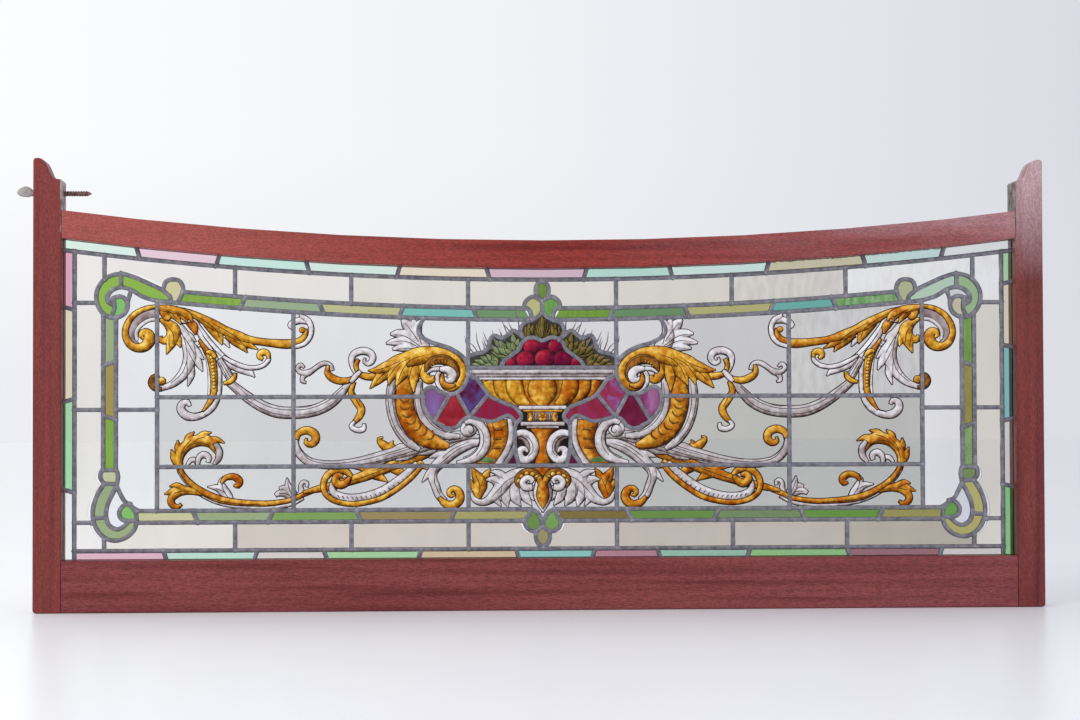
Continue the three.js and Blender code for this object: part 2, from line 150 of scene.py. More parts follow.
world = bpy.data.worlds.new("white_studio")
bpy.context.scene.world = world
world.use_nodes = True
tree = world.node_tree
tree.nodes.clear()
direction = node(tree, "ShaderNodeSeparateXYZ", {
    "Vector": node(tree, "ShaderNodeTexCoord").outputs["Generated"]})
across = node(tree, "ShaderNodeMapRange", {
    "Value": direction.outputs["X"], "From Min": -0.17, "From Max": 0.27})
rising = node(tree, "ShaderNodeMapRange", {
    "Value": direction.outputs["Z"], "From Min": 0.02, "From Max": 0.11})
wall_top = node(tree, "ShaderNodeValToRGB", {"Fac": across},
                stops=[(0.0, "#fdfeff"), (0.5, "#f0f1f5"), (1.0, "#d9dae3")])
wall_foot = node(tree, "ShaderNodeValToRGB", {"Fac": across},
                 stops=[(0.0, "#eeeff4"), (0.5, "#e9eaee"), (1.0, "#dcdde4")])
paper = node(tree, "ShaderNodeMix", {"Factor": rising, 6: wall_foot, 7: wall_top}, data_type="RGBA")
light = node(tree, "ShaderNodeBackground", {"Color": paper, "Strength": 1.0})
node(tree, "ShaderNodeOutputWorld", {"Surface": light})


def soft_lamp(name, place, target, width, height, watts):
    """A rectangular lamp at `place`, turned to face `target`: its own -Z axis lies along the line
    between them. Millimetres and watts."""
    lamp = bpy.data.lights.new(name, "AREA")
    lamp.shape, lamp.size, lamp.size_y, lamp.energy = "RECTANGLE", width / 1000, height / 1000, watts
    made = bpy.data.objects.new(name, lamp)
    bpy.context.scene.collection.objects.link(made)
    aim = np.array(place, float) - np.array(target, float)
    back = aim / np.linalg.norm(aim)
    side = np.cross([0, 0, 1], back)
    side /= np.linalg.norm(side)
    turn = np.stack([side, np.cross(back, side), back], 1)
    made.matrix_world = Matrix.Translation(np.array(place) / 1000) @ Matrix(turn.tolist()).to_4x4()


soft_lamp("key_softbox", (-2600, -3400, 2700), (-100, 0, 250), 1800, 1800, 70)
soft_lamp("side_softbox", (2300, -2500, 900), (500, 0, 250), 1200, 1600, 14)

# The camera stands a little left of the middle and low, and looks slightly up and to the right. Its
# place, lens and sensor are in millimetres, its sight in metres and its turns in radians.
CAMERA_PLACE = (-146, -2950, 220.4)
CAMERA_LENS = 82.5
CAMERA_SENSOR = 36
CAMERA_SIGHT = 200
CAMERA_YAW = 0.0485
CAMERA_PITCH = 0.0257
CAMERA_ROLL = -0.0032
facing = np.array([np.sin(CAMERA_YAW) * np.cos(CAMERA_PITCH),
                   np.cos(CAMERA_YAW) * np.cos(CAMERA_PITCH), np.sin(CAMERA_PITCH)])
level = np.array([np.cos(CAMERA_YAW), -np.sin(CAMERA_YAW), 0])
above = np.cross(level, facing)
right = level * np.cos(CAMERA_ROLL) + above * np.sin(CAMERA_ROLL)
up = above * np.cos(CAMERA_ROLL) - level * np.sin(CAMERA_ROLL)
camera = bpy.data.objects.new("camera", bpy.data.cameras.new("camera"))
bpy.context.scene.collection.objects.link(camera)
camera.data.lens, camera.data.sensor_width = CAMERA_LENS, CAMERA_SENSOR
camera.data.clip_end = CAMERA_SIGHT
camera.matrix_world = (Matrix.Translation(np.array(CAMERA_PLACE) / 1000)
                       @ Matrix(np.stack([right, up, -facing], 1).tolist()).to_4x4())
bpy.context.scene.camera = camera
bpy.context.scene.view_settings.view_transform = "Standard"

# ---------------------------------------------------------------------------------------
# The four members of the frame: solid mahogany, planed and sanded, stained red-brown and finished with a
# satin varnish. Painted light makes the left-hand end paler and redder, and a painted sheen lightens the
# right-hand end towards the top. The stiles' grain stands upright and the rails' lies along them.

def mahogany(name, grain_axis, deep, mid, light, horn_foot=1.0, light_at_left=0.0):
    """Open-grained red-brown wood. Along the grain the figure is 300 mm long and the pores are 9 mm;
    across it they are 9 mm and 0.9 mm, which is about twice a real pore's width so that it shows.
    Above horn_foot, in metres, the inner faces are bare. The last argument is the share of painted light that
    makes the left-hand end paler and redder; the right-hand end and the upper parts carry a painted sheen."""
    made, tree, shader, place = finish(name, {
        "IOR": 1.5, "Specular IOR Level": 0.17, "Coat Weight": 0.04, "Coat Roughness": 0.3})

    def stretched(long_mm, narrow_mm, detail, roughness=0.5):
        """Noise that is long_mm long along the grain and narrow_mm wide across it."""
        scale = [1000 / narrow_mm] * 3
        scale[grain_axis] = 1000 / long_mm
        spread = node(tree, "ShaderNodeMapping", {"Vector": place, "Scale": scale})
        return node(tree, "ShaderNodeTexNoise", {
            "Vector": spread, "Scale": 1.0, "Detail": detail, "Roughness": roughness})

    figure = node(tree, "ShaderNodeValToRGB", {"Fac": stretched(300, 9, 4.0)},
                  stops=[(0.3, deep), (0.5, mid), (0.72, light)])
    pore = node(tree, "ShaderNodeMapRange", {
        "Value": stretched(9, 0.9, 2.0), "From Min": 0.5, "From Max": 0.66})
    fade = node(tree, "ShaderNodeMath", {0: pore, 1: 0.6}, operation="MULTIPLY")
    pored = node(tree, "ShaderNodeMix", {"Factor": fade, 6: figure, 7: srgb("#4f1f1f")}, data_type="RGBA")

    # Painted light: redder and paler towards the left-hand end, nearest the key lamp.
    where = node(tree, "ShaderNodeSeparateXYZ", {"Vector": place})
    light_share_left = node(tree, "ShaderNodeMapRange", {
        "Value": where.outputs["X"], "From Min": -0.02, "From Max": -0.42, "To Max": light_at_left})
    lit_left_end = node(tree, "ShaderNodeMix", {"Factor": light_share_left, 6: pored, 7: srgb("#b0625c")}, data_type="RGBA")

    # Painted sheen: a pale pink lightening, most at the right-hand end and higher up, in uneven patches,
    # standing for the varnish's glare from the lamp on the right.
    sheen_to_right = node(tree, "ShaderNodeMapRange", {
        "Value": where.outputs["X"], "From Min": 0.05, "From Max": 0.62, "To Max": 0.42})
    high = node(tree, "ShaderNodeMapRange", {
        "Value": where.outputs["Z"], "From Min": 0.39, "From Max": 0.53, "To Min": 0.1, "To Max": 2.7})
    patch = node(tree, "ShaderNodeMapRange", {
        "Value": stretched(160, 25, 3.0, 0.6), "From Min": 0.35, "From Max": 0.65, "To Min": 0.35})
    sheen_share = node(tree, "ShaderNodeMath", {0: sheen_to_right, 1: high}, operation="MULTIPLY")
    sheen_share = node(tree, "ShaderNodeMath", {0: sheen_share, 1: patch}, operation="MULTIPLY")
    with_painted_sheen = node(tree, "ShaderNodeMix", {"Factor": sheen_share, 6: lit_left_end, 7: srgb("#bb9ea4")}, data_type="RGBA")

    # Over the whole face, the raised grain's speckle.
    speckle = node(tree, "ShaderNodeMapRange", {
        "Value": stretched(3.5, 1.4, 3.0, 0.7), "From Min": 0.36, "From Max": 0.64, "To Min": 0.74,
        "To Max": 1.24})
    speckled = node(tree, "ShaderNodeVectorMath", {0: with_painted_sheen, "Scale": speckle}, operation="SCALE")

    # The horns' inner faces were never varnished: bare, grey and dirty. The right-hand one is painted darker
    # still, as painted shade.
    from_middle = node(tree, "ShaderNodeMath", {0: where.outputs["X"]}, operation="ABSOLUTE")
    inner = node(tree, "ShaderNodeMapRange", {"Value": from_middle, "From Min": 0.5690, "From Max": 0.5672})
    horn = node(tree, "ShaderNodeMapRange", {
        "Value": where.outputs["Z"], "From Min": horn_foot, "From Max": horn_foot + 0.003})
    bare = node(tree, "ShaderNodeMath", {0: inner, 1: horn}, operation="MULTIPLY")
    dirt = node(tree, "ShaderNodeTexNoise", {"Vector": place, "Scale": 90.0, "Detail": 5.0})
    grey = node(tree, "ShaderNodeValToRGB", {"Fac": dirt},
                stops=[(0.35, "#5a4038"), (0.5, "#93837c"), (0.62, "#b9b3b0")])
    # Painted shade: the bare grey darkens towards the right-hand horn.
    shade_to_right = node(tree, "ShaderNodeMapRange", {
        "Value": where.outputs["X"], "From Min": -0.5, "From Max": 0.5, "To Min": 1.0, "To Max": 0.4})
    darkened = node(tree, "ShaderNodeVectorMath", {0: grey, "Scale": shade_to_right}, operation="SCALE")
    colour = node(tree, "ShaderNodeMix", {"Factor": bare, 6: speckled, 7: darkened}, data_type="RGBA")

    gloss = node(tree, "ShaderNodeMapRange", {
        "Value": stretched(60, 12, 4.0), "From Min": 0.3, "From Max": 0.7, "To Min": 0.34, "To Max": 0.5})
    sunk = node(tree, "ShaderNodeMath", {0: pore, 1: -1.0}, operation="MULTIPLY")
    bump = node(tree, "ShaderNodeBump", {"Height": sunk, "Strength": 0.35, "Distance": 0.0003})
    wire(tree, shader, {"Base Color": colour, "Roughness": gloss, "Normal": bump})
    return made


def dress(names, made):
    """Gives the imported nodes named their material."""
    for name in names:
        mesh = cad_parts[name].data
        mesh.materials.clear()
        mesh.materials.append(made)


ALONG_X, ALONG_Z = 0, 2
dress(["left_stile", "right_stile"],
      mahogany("varnished_mahogany_upright", ALONG_Z, "#521815", "#6d2623", "#7a302b",
               horn_foot=0.446, light_at_left=0.16))
dress(["top_rail"], mahogany("varnished_mahogany_top_rail", ALONG_X, "#6b1e19", "#842c26", "#923832",
                            light_at_left=0.5))
dress(["bottom_rail"], mahogany("varnished_mahogany_bottom_rail", ALONG_X, "#66282a", "#7d3a3c",
                                "#8a4546"))

# ---------------------------------------------------------------------------------------
# The came net: milled H-section lead, bent cold round the glass and soldered at every
# crossing into one piece. The flanges are domed and dull grey, a little uneven in width
# where the lead was stretched and dressed down by hand.

# Where the leads run, in millimetres: X is out from the middle, Z up from the underside.
PANEL_X = 571
PANEL_Z = 57
PANEL_CROWN = 409
ARCH_RADIUS = 4580
BORDER_X = 554
BORDER_Z = 71.5
BORDER_CROWN = 392.3
BAND_CROWN = 358.1
BAND_UNDER_CROWN = 344.3
BAND_SILL = 118.6
BAND_SILL_UNDER = 104.7
BAND_OUTER_X = 520.3
BAND_INNER_X = 505.3
OUTER_COLUMN_X = 457
INNER_COLUMN_X = 296
CENTRE_COLUMN_X = 88.5
SIDE_ROW_Z = 238.3
UPPER_ROW_Z = 253
LOWER_ROW_Z = 170.5
BOWL_RIM_Z = 287.3
LEAD_STEP = 12.0
CURVE_STEPS = 24


def arch_height(crown, x):
    """Height at x of a curve with the top rail's radius: the crown height, plus how far a circle of
    that radius has risen at x."""
    return crown + ARCH_RADIUS - np.sqrt(ARCH_RADIUS ** 2 - np.square(x))


def even(line, spacing):
    """The same line with its points equally far apart, about `spacing` mm: each column is
    interpolated over the distance run so far."""
    line = np.asarray(line, float)
    run = np.concatenate([[0], np.cumsum(np.linalg.norm(np.diff(line[:, :2], axis=0), axis=1))])
    count = max(2, int(np.ceil(run[-1] / spacing)) + 1)
    at = np.linspace(0, run[-1], count)
    return np.stack([np.interp(at, run, column) for column in line.T], 1)


def bent(*points, spacing=2.0):
    """A fair line through the points: a Catmull-Rom cubic between each two, whose slope at a point is
    half the step between that point's neighbours. Columns after x and z, such as a width, go along."""
    p = np.array(points, float)
    before = np.vstack([p[:1], p[:-2]])
    after = np.vstack([p[2:], p[-1:]])
    slope_in = (p[1:] - before) / 2
    slope_out = (after - p[:-1]) / 2
    t = np.linspace(0, 1, CURVE_STEPS, endpoint=False)[None, :, None]
    a, b = p[:-1, None], p[1:, None]
    m, n = slope_in[:, None], slope_out[:, None]
    cubic = ((2 * a - 2 * b + m + n) * t ** 3 + (3 * b - 3 * a - 2 * m - n) * t ** 2 + m * t + a)
    return even(np.vstack([cubic.reshape(-1, p.shape[1]), p[-1:]]), spacing)


def straight(*points):
    """A lead that runs straight from point to point."""
    return even(points, LEAD_STEP)


def arch(crown, from_x, to_x):
    """A lead along a curve with the top rail's radius."""
    x = np.linspace(from_x, to_x, max(2, int(abs(to_x - from_x) / LEAD_STEP)))
    return np.stack([x, arch_height(crown, x)], 1)


def mirrored(line):
    """The line on the other side of the middle, in the same order."""
    line = np.asarray(line, float)
    return np.column_stack([-line[:, 0], line[:, 1:]])


field_leads = [
    straight((-BORDER_X, arch_height(BORDER_CROWN, BORDER_X)), (-BORDER_X, PANEL_Z)),
    straight((-519, arch_height(BORDER_CROWN, 519)), (-519, 392.5)),
    straight((-519, BORDER_Z), (-519, 86)),
    straight((-BORDER_X, 365), (-528.4, 365)),
    straight((-BORDER_X, 105), (-534.2, 105)),
    straight((-BORDER_X, SIDE_ROW_Z), (-BAND_OUTER_X, SIDE_ROW_Z)),
    straight((-BAND_INNER_X, SIDE_ROW_Z), (-OUTER_COLUMN_X, SIDE_ROW_Z)),
]
for x in (365, 227.5, CENTRE_COLUMN_X):
    field_leads.append(straight((-x, arch_height(BORDER_CROWN, x)), (-x, arch_height(BAND_CROWN, x))))
    field_leads.append(straight((-x, BORDER_Z), (-x, BAND_SILL_UNDER)))

band_leads = [
    arch(BAND_CROWN, -426.5, -21),
    arch(BAND_UNDER_CROWN, -OUTER_COLUMN_X, -17.5),
    straight((-480, BAND_SILL), (-14, BAND_SILL)),
    straight((-480.3, BAND_SILL_UNDER), (-23.6, BAND_SILL_UNDER)),
    straight((-BAND_OUTER_X, 350), (-BAND_OUTER_X, 167)),
    straight((-BAND_INNER_X, 347.5), (-BAND_INNER_X, 167)),
    straight((-BAND_OUTER_X, 167), (-BAND_INNER_X, 167)),
]

grid_leads = [straight((-x, arch_height(BAND_UNDER_CROWN, x)), (-x, foot)) for x, foot in (
    (OUTER_COLUMN_X, BAND_SILL), (INNER_COLUMN_X, BAND_SILL), (CENTRE_COLUMN_X, 279.5))]
grid_leads += [
    straight((-CENTRE_COLUMN_X, LOWER_ROW_Z), (-CENTRE_COLUMN_X, BAND_SILL)),
    straight((-OUTER_COLUMN_X, UPPER_ROW_Z), (-142.4, UPPER_ROW_Z)),
]

upper_loop = bent((-450, 380), (-467, 388), (-485, 395.8), (-500, 399.4), (-516, 395), (-526, 383.5),
                  (-528.6, 370), (-524, 356.5), (-515, 348.6), (-505, 347))
upper_loop_inside = bent((-457, 367), (-474, 372.2), (-487, 380), (-499.5, 383.4), (-510.5, 379.3),
                         (-515.8, 371.2), (-513.5, 365), (-508.3, 362.5))
upper_ball = bent((-514.5, 366.5), (-507.5, 371), (-500.5, 372.6), (-494.5, 369.5), (-491.5, 362.5),
                  (-494, 354), (-499.5, 349.2), (-505.3, 347))
upper_ball_side = bent((-508.5, 370.5), (-507.3, 360.3), (-508.5, 354), (-512, 348.3))
upper_bud = bent((-450, 380), (-446.8, 389.8), (-438.3, 392.8), (-430.2, 390.4), (-426.3, 382.5),
                 (-428, 374.5), (-433, 365))
upper_bud_side = bent((-450, 380), (-446, 376), (-441.8, 372.5), (-441, 365.8))
upper_corner_leads = [
    upper_loop, upper_loop_inside, straight((-499.5, 383.5), (-499.5, 399.8)), upper_ball,
    upper_ball_side, bent((-487.5, 380), (-489.5, 373.5), (-491.7, 366)), upper_bud, upper_bud_side,
]

lower_round_left = bent((-519.5, 169.5), (-522.8, 164.5), (-523.3, 157.5), (-519, 151))
lower_round_right = bent((-505.3, 168.5), (-502.8, 160.5), (-504.4, 148))
lower_loop = bent((-519, 151), (-526.8, 138.5), (-531.8, 123.5), (-532, 109.5), (-527, 96), (-517.5, 86.8),
                  (-506, 83.6), (-493.5, 87), (-484.3, 95.5), (-480.3, 106))
lower_loop_inside = bent((-504.4, 148), (-510, 137.5), (-515.2, 125), (-516.8, 113), (-513.3, 102.2),
                         (-504.5, 97.2), (-495.8, 100.5), (-490.5, 106.5))
lower_crescent = bent((-504.4, 148), (-496, 131.5), (-486.5, 123.8), (-479, BAND_SILL))
lower_ball = bent((-489, 127.3), (-496.5, 125), (-501.3, 118), (-500, 110.8), (-494, 107.2),
                  (-480.3, 107.3))
lower_ball_side = bent((-487, 124), (-482, 116.5), (-480.3, 104.7))
lower_corner_leads = [
    lower_round_left, lower_round_right, straight((-519.3, 151.3), (-504, 150.3)), lower_loop,
    lower_loop_inside, straight((-532, 110), (-516.8, 111)), lower_crescent, lower_ball,
    lower_ball_side,
]

crest_drop = bent((0, 391), (-5.8, 387), (-7.8, 380), (-6.4, 372.5), (0, 365.5))
crest_leaf_top = bent((-21.5, 358.1), (-20, 366), (-12, 371.8), (-3.5, 369.4))
crest_leaf_foot = bent((-22, 359), (-17, 357.5), (-13.8, 352.5), (-12.8, 344.2))
crest_shoulder = bent((-25.2, 325.2), (-26.3, 332), (-22, 340.3), (-11.5, 344.6), (-4.5, 348.6), (0, 354.6))
crest_leads = [
    crest_drop, crest_leaf_top, crest_leaf_foot, crest_shoulder,
    bent((-88.5, 300.5), (-79, 304), (-71, 305.6), (-65, 310.5), (-62, 321), (-57.5, 325.6),
         (-48.5, 322.6), (-41.5, 326), (-34.5, 331.4), (-25.2, 325.2)),
    straight((-25.2, 325.2), (-20.5, 320.5)),
]

volute_round = bent((-88.5, 279.5), (-91.7, 269.2), (-99.4, 259.6), (-110.3, 255.1), (-121.8, 258.3),
                    (-131, 264), (-139, 261.3), (-142.4, 252.5), (-141, 240.5), (-134.6, 229.5),
                    (-124.4, 220.5), (-111.5, 214.6), (-101.5, 217.3), (-94.5, 225), (-87, 228.8))
wing_under = bent((-87, 228.8), (-73, 225), (-60, 223.2), (-49, 227.5), (-40, 229.9), (-32, 221.5))
bowl_side = bent((-88.5, 279.5), (-78, 273.5), (-69.5, 261.5), (-61, 252.2), (-46, 245.3), (-34, 240.5),
                 (-26.5, 232.5), (-26, 226.5), (-32, 219.5), (-33.3, 205), (-32.5, 189),
                 (-28.5, LOWER_ROW_Z))
small_triangle_side = bent((-33.5, 193), (-37.5, 183.5), (-47, LOWER_ROW_Z))
scroll_leads = [
    bent((-141, 346.5), (-147.6, 334.5), (-145, 325), (-132, 317.4), (-112, 311), (-98, 302.8),
         (-88.5, 292.5)),
    volute_round, straight((-110.5, 255.1), (-128.8, 224.5)), straight((-87, 228.8), (-102.3, 257)),
    straight((-87, 228.8), (-65.5, 254.8)), wing_under, bowl_side, small_triangle_side,
]

pendant_leaf_inside = bent((-16, BAND_SILL), (-7.8, 115.8), (-2.6, 108.5), (0, 98.5))
pendant_leaf_outside = bent((-16, BAND_SILL), (-16.3, 112.5), (-20.8, 105), (-19.8, 97.5), (-12.5, 92.3),
                            (-5, 94.3), (0, 99.5))
pendant_drop = bent((-8, 92.5), (-8.6, 85.5), (-6, 78), (0, 73.5))
pendant_leads = [pendant_leaf_inside, pendant_leaf_outside, pendant_drop]

fruit_half = [(-50, BOWL_RIM_Z), (-46, 295), (-37, 302), (-28.5, 308.6), (-24.6, 316.5), (-18.5, 322),
              (-9.5, 323), (0, 319.4)]
fruit_edge = bent(*fruit_half, *[(-x, z) for x, z in fruit_half[-2::-1]])

TOP_BORDER_TIES = [(-480, -5), (-385, 5), (-279.5, -5), (-171, 5), (-65, -5), (52, 5), (154, -5),
                   (271, 5), (387, -5), (483, 5)]
BOTTOM_BORDER_TIES = [(-447, -5), (-341, 5), (-258, -5), (-147, 5), (-30, -4), (60, 5), (139, -5),
                      (246, 5), (367, -5), (478, 5)]
TOP_BAND_TIES = [(-356, 6), (-263, -6), (-168, 6), (-80, -5), (83, 6), (173, -6), (276, 6), (351, -6)]
BOTTOM_BAND_TIES = [(-412, -6), (-323, 6), (-219, -6), (-107, 6), (103, -6), (208, 6), (311, -6), (406, 6)]
LEFT_BORDER_TIES = [(359, -5), (249, 5), (143, -5)]
RIGHT_BORDER_TIES = [(389, 4), (312, -4), (224, 4), (144, -4)]
LEFT_BAND_TIES = [(293, 5), (229, -5)]
RIGHT_BAND_TIES = [(291, -5), (217, 5)]


def tie(x, low_z, high_z, lean):
    """A short upright lead across a strip, whose top stands `lean` further right than its foot."""
    return straight((x - lean / 2, low_z), (x + lean / 2, high_z))


def cross_tie(from_x, to_x, z, rise):
    """A short level lead across an upright strip, which climbs by `rise` towards the right."""
    return straight((from_x, z - rise / 2), (to_x, z + rise / 2))


ties = [tie(x, arch_height(BORDER_CROWN, x), arch_height(PANEL_CROWN, x), lean)
        for x, lean in TOP_BORDER_TIES]
ties += [tie(x, PANEL_Z, BORDER_Z, lean) for x, lean in BOTTOM_BORDER_TIES]
ties += [tie(x, arch_height(BAND_UNDER_CROWN, x), arch_height(BAND_CROWN, x), lean)
         for x, lean in TOP_BAND_TIES]
ties += [tie(x, BAND_SILL_UNDER, BAND_SILL, lean) for x, lean in BOTTOM_BAND_TIES]
ties += [cross_tie(-PANEL_X, -BORDER_X, z, rise) for z, rise in LEFT_BORDER_TIES]
ties += [cross_tie(BORDER_X, PANEL_X, z, rise) for z, rise in RIGHT_BORDER_TIES]
ties += [cross_tie(-BAND_OUTER_X, -BAND_INNER_X, z, rise) for z, rise in LEFT_BAND_TIES]
ties += [cross_tie(BAND_INNER_X, BAND_OUTER_X, z, rise) for z, rise in RIGHT_BAND_TIES]

whole_width_leads = [
    straight((-PANEL_X, PANEL_Z), (PANEL_X, PANEL_Z)),
    straight((-PANEL_X, PANEL_Z), (-PANEL_X, arch_height(PANEL_CROWN, PANEL_X))),
    straight((PANEL_X, PANEL_Z), (PANEL_X, arch_height(PANEL_CROWN, PANEL_X))),
    arch(PANEL_CROWN, -PANEL_X, PANEL_X),
    arch(BORDER_CROWN, -PANEL_X, PANEL_X),
    straight((-BORDER_X, BORDER_Z), (BORDER_X, BORDER_Z)),
    straight((-OUTER_COLUMN_X, LOWER_ROW_Z), (OUTER_COLUMN_X, LOWER_ROW_Z)),
    straight((-CENTRE_COLUMN_X, BOWL_RIM_Z), (CENTRE_COLUMN_X, BOWL_RIM_Z)),
    fruit_edge,
    straight((0, 367), (0, 353)),
]
left_leads = (field_leads + band_leads + grid_leads + upper_corner_leads + lower_corner_leads
              + crest_leads + scroll_leads + pendant_leads)
lead_lines = whole_width_leads + left_leads + [mirrored(line) for line in left_leads] + ties

CAME_SECTION = np.array([
    (-2.6, -1.62), (-2.3, -2.25), (-1.25, -2.62), (0, -2.74), (1.25, -2.62), (2.3, -2.25), (2.6, -1.62),
    (0.9, -1.58), (0.9, 1.58),
    (2.6, 1.62), (2.3, 2.25), (1.25, 2.62), (0, 2.74), (-1.25, 2.62), (-2.3, 2.25), (-2.6, 1.62),
    (-0.9, 1.58), (-0.9, -1.58)])


def sides(line):
    """The unit directions along a line and across it, from the step between each point's neighbours."""
    along = np.gradient(line[:, :2], axis=0)
    along /= np.linalg.norm(along, axis=1, keepdims=True)
    return along, np.stack([-along[:, 1], along[:, 0]], 1)


def came(line):
    """The H-section carried along a line: point + across * s, at depth y, for each (s, y) of the
    section. s swells and shrinks by 4 percent in slow waves, as dressed lead does. Ends are capped."""
    along, across = sides(line)
    wave = 1 + 0.025 * np.sin(line[:, 0] / 9.1 + line[:, 1] / 5.3) + 0.02 * np.sin(line @ [0.31, -0.43])
    s = CAME_SECTION[:, 0] * wave[:, None]
    plane = line[:, None, :] + across[:, None, :] * s[..., None]
    depth = np.broadcast_to(CAME_SECTION[:, 1], s.shape)
    count = len(CAME_SECTION)
    points = np.stack([plane[..., 0], depth, plane[..., 1]], -1).reshape(-1, 3)
    ring = np.arange(count)[None]
    return points, [grid_faces(len(line), count, ring=True), ring[:, ::-1], ring + (len(line) - 1) * count]


def dulled_lead(name, dark, mid, pale):
    """Old sheet-grey metal. Hammering and rubbing leave patches 6 mm across; the oxide is darkest in
    the corners beside the glass, so the colour deepens away from the flange's crown."""
    made, tree, shader, place = finish(name, {"Metallic": 0.55})
    patches = node(tree, "ShaderNodeTexNoise", {
        "Vector": place, "Scale": 1000 / 6, "Detail": 4.0, "Roughness": 0.6})
    colour = node(tree, "ShaderNodeValToRGB", {"Fac": patches},
                  stops=[(0.3, dark), (0.5, mid), (0.72, pale)])
    depth = node(tree, "ShaderNodeSeparateXYZ", {"Vector": place})
    proud = node(tree, "ShaderNodeMath", {0: depth.outputs["Y"]}, operation="ABSOLUTE")
    corner = node(tree, "ShaderNodeMapRange", {
        "Value": proud, "From Min": 0.0025, "From Max": 0.0017, "To Max": 0.75})
    darkened = node(tree, "ShaderNodeMix", {"Factor": corner, 6: colour, 7: srgb("#3d3c42")}, data_type="RGBA")
    rub = node(tree, "ShaderNodeMapRange", {
        "Value": patches, "From Min": 0.3, "From Max": 0.7, "To Min": 0.62, "To Max": 0.42})
    bump = node(tree, "ShaderNodeBump", {"Height": patches, "Strength": 0.5, "Distance": 0.0006})
    wire(tree, shader, {"Base Color": darkened, "Roughness": rub, "Normal": bump})
    return made


cames = mesh_object("h_section_cames", [came(line) for line in lead_lines],
                    dulled_lead("oxidised_lead", "#5c5b62", "#74737b", "#8a8990"))
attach(cames, "root")
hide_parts("lead_cames")

# ---------------------------------------------------------------------------------------
# The solder: a blob of tin and lead melted over every joint, on both faces. It sets as a
# flat dome with an uneven rim, brighter than the came and blotched where the flux burned.

# A joint is a lead's end or a crossing. Of those closer than the shortest gap only one is soldered,
# and those outside the rebate of the frame don't show.
JOINT_REACH = 3.1
JOINT_RIM = 10
SHORTEST_GAP = 4.0
REBATE_X, REBATE_FOOT, REBATE_CROWN = 564, 65, 402
crossings = [(side * x, z) for side in (-1, 1) for x in (OUTER_COLUMN_X, INNER_COLUMN_X)
             for z in (UPPER_ROW_Z, LOWER_ROW_Z)]
crossings += [(side * CENTRE_COLUMN_X, z) for side in (-1, 1) for z in (LOWER_ROW_Z, BOWL_RIM_Z)]
joints = np.array([tuple(line[i, :2]) for line in lead_lines for i in (0, -1)] + crossings)
inside_frame = ((np.abs(joints[:, 0]) < REBATE_X) & (joints[:, 1] > REBATE_FOOT)
                & (joints[:, 1] < arch_height(REBATE_CROWN, joints[:, 0])))
joints = joints[inside_frame]
gaps = np.linalg.norm(joints[:, None] - joints[None], axis=2)
gaps_to_earlier = np.where(np.tri(len(joints), k=-1), gaps, np.inf)
joints = joints[gaps_to_earlier.min(axis=1) > SHORTEST_GAP]


def solder_dome(place, face):
    """A lens on one face of the net: radius r and angle a give depth 1.9 + 0.95 * (1 - r squared)
    from the glass plane, and the rim's reach swells by an eighth in three uneven lobes."""
    x, z = place
    a = np.linspace(0, 2 * np.pi, JOINT_RIM, endpoint=False)
    r = np.array([1.0, 0.8, 0.5, 0.18])[:, None]
    reach = JOINT_REACH * (1 + 0.12 * np.sin(3 * a + x) + 0.08 * np.sin(2 * a + z))
    depth = face * (1.9 + 0.95 * (1 - r ** 2) + 0 * a)
    points = np.stack([x + r * reach * np.cos(a), depth, z + r * reach * np.sin(a)], -1).reshape(-1, 3)
    rings = grid_faces(len(r), JOINT_RIM, ring=True)
    rim = np.arange(JOINT_RIM)[None]
    caps = [rim + (len(r) - 1) * JOINT_RIM, rim[:, ::-1]]
    if face > 0:
        rings, caps = rings[:, ::-1], [cap[:, ::-1] for cap in caps]
    return points, [rings, *caps]


solder = mesh_object("solder_joints", [solder_dome(place, face) for place in joints for face in (-1, 1)],
                     dulled_lead("tarnished_solder", "#6c6b73", "#84838b", "#a09fa7"))
for polygon in solder.data.polygons:
    polygon.use_smooth = len(polygon.vertices) == 4
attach(solder, "root")

# ---------------------------------------------------------------------------------------
# The clear glass: pale drawn sheet in the field and cool white sheet in the columns and behind the painting.
# The panes are cut from several sheets, so the tints differ a little; besides that, the lower and right-hand
# panes are tinted darker and warmer as painted shade of the dimmer room behind them.
# It ripples gently; the panes at the upper right are a seedy, reamy sheet.

def sheet_glass(name, tint, ripple_mm, ripple_height_mm, gleam=0.06):
    """Clear soda glass, see-through by the shader's own values. The surface waves are ripple_mm
    apart, stretched threefold upright as the sheet was drawn, and ripple_height_mm high."""
    made, tree, shader, place = finish(name, {
        "Transmission Weight": 1.0, "Roughness": 0.0, "IOR": 1.5, "Specular IOR Level": gleam})
    scale = 1000 / ripple_mm
    spread = node(tree, "ShaderNodeMapping", {"Vector": place, "Scale": (scale, scale, scale / 3)})
    waves = node(tree, "ShaderNodeTexNoise", {
        "Vector": spread, "Scale": 1.0, "Detail": 3.0, "Roughness": 0.55})
    bump = node(tree, "ShaderNodeBump", {
        "Height": waves, "Strength": 1.0, "Distance": ripple_height_mm / 1000})
    thickness = node(tree, "ShaderNodeMapRange", {
        "Value": waves, "From Min": 0.35, "From Max": 0.65, "To Min": 1.01 + 0.1 * ripple_height_mm,
        "To Max": 0.98 - 0.18 * ripple_height_mm})
    depth_of_tint = node(tree, "ShaderNodeVectorMath", {0: srgb(tint)[:3], "Scale": thickness},
                         operation="SCALE")
    wire(tree, shader, {"Base Color": depth_of_tint, "Normal": bump})
    return made


def both(*names):
    """The names of the left and the right one of each pair."""
    return [f"{name}_{side}" for name in names for side in ("left", "right")]


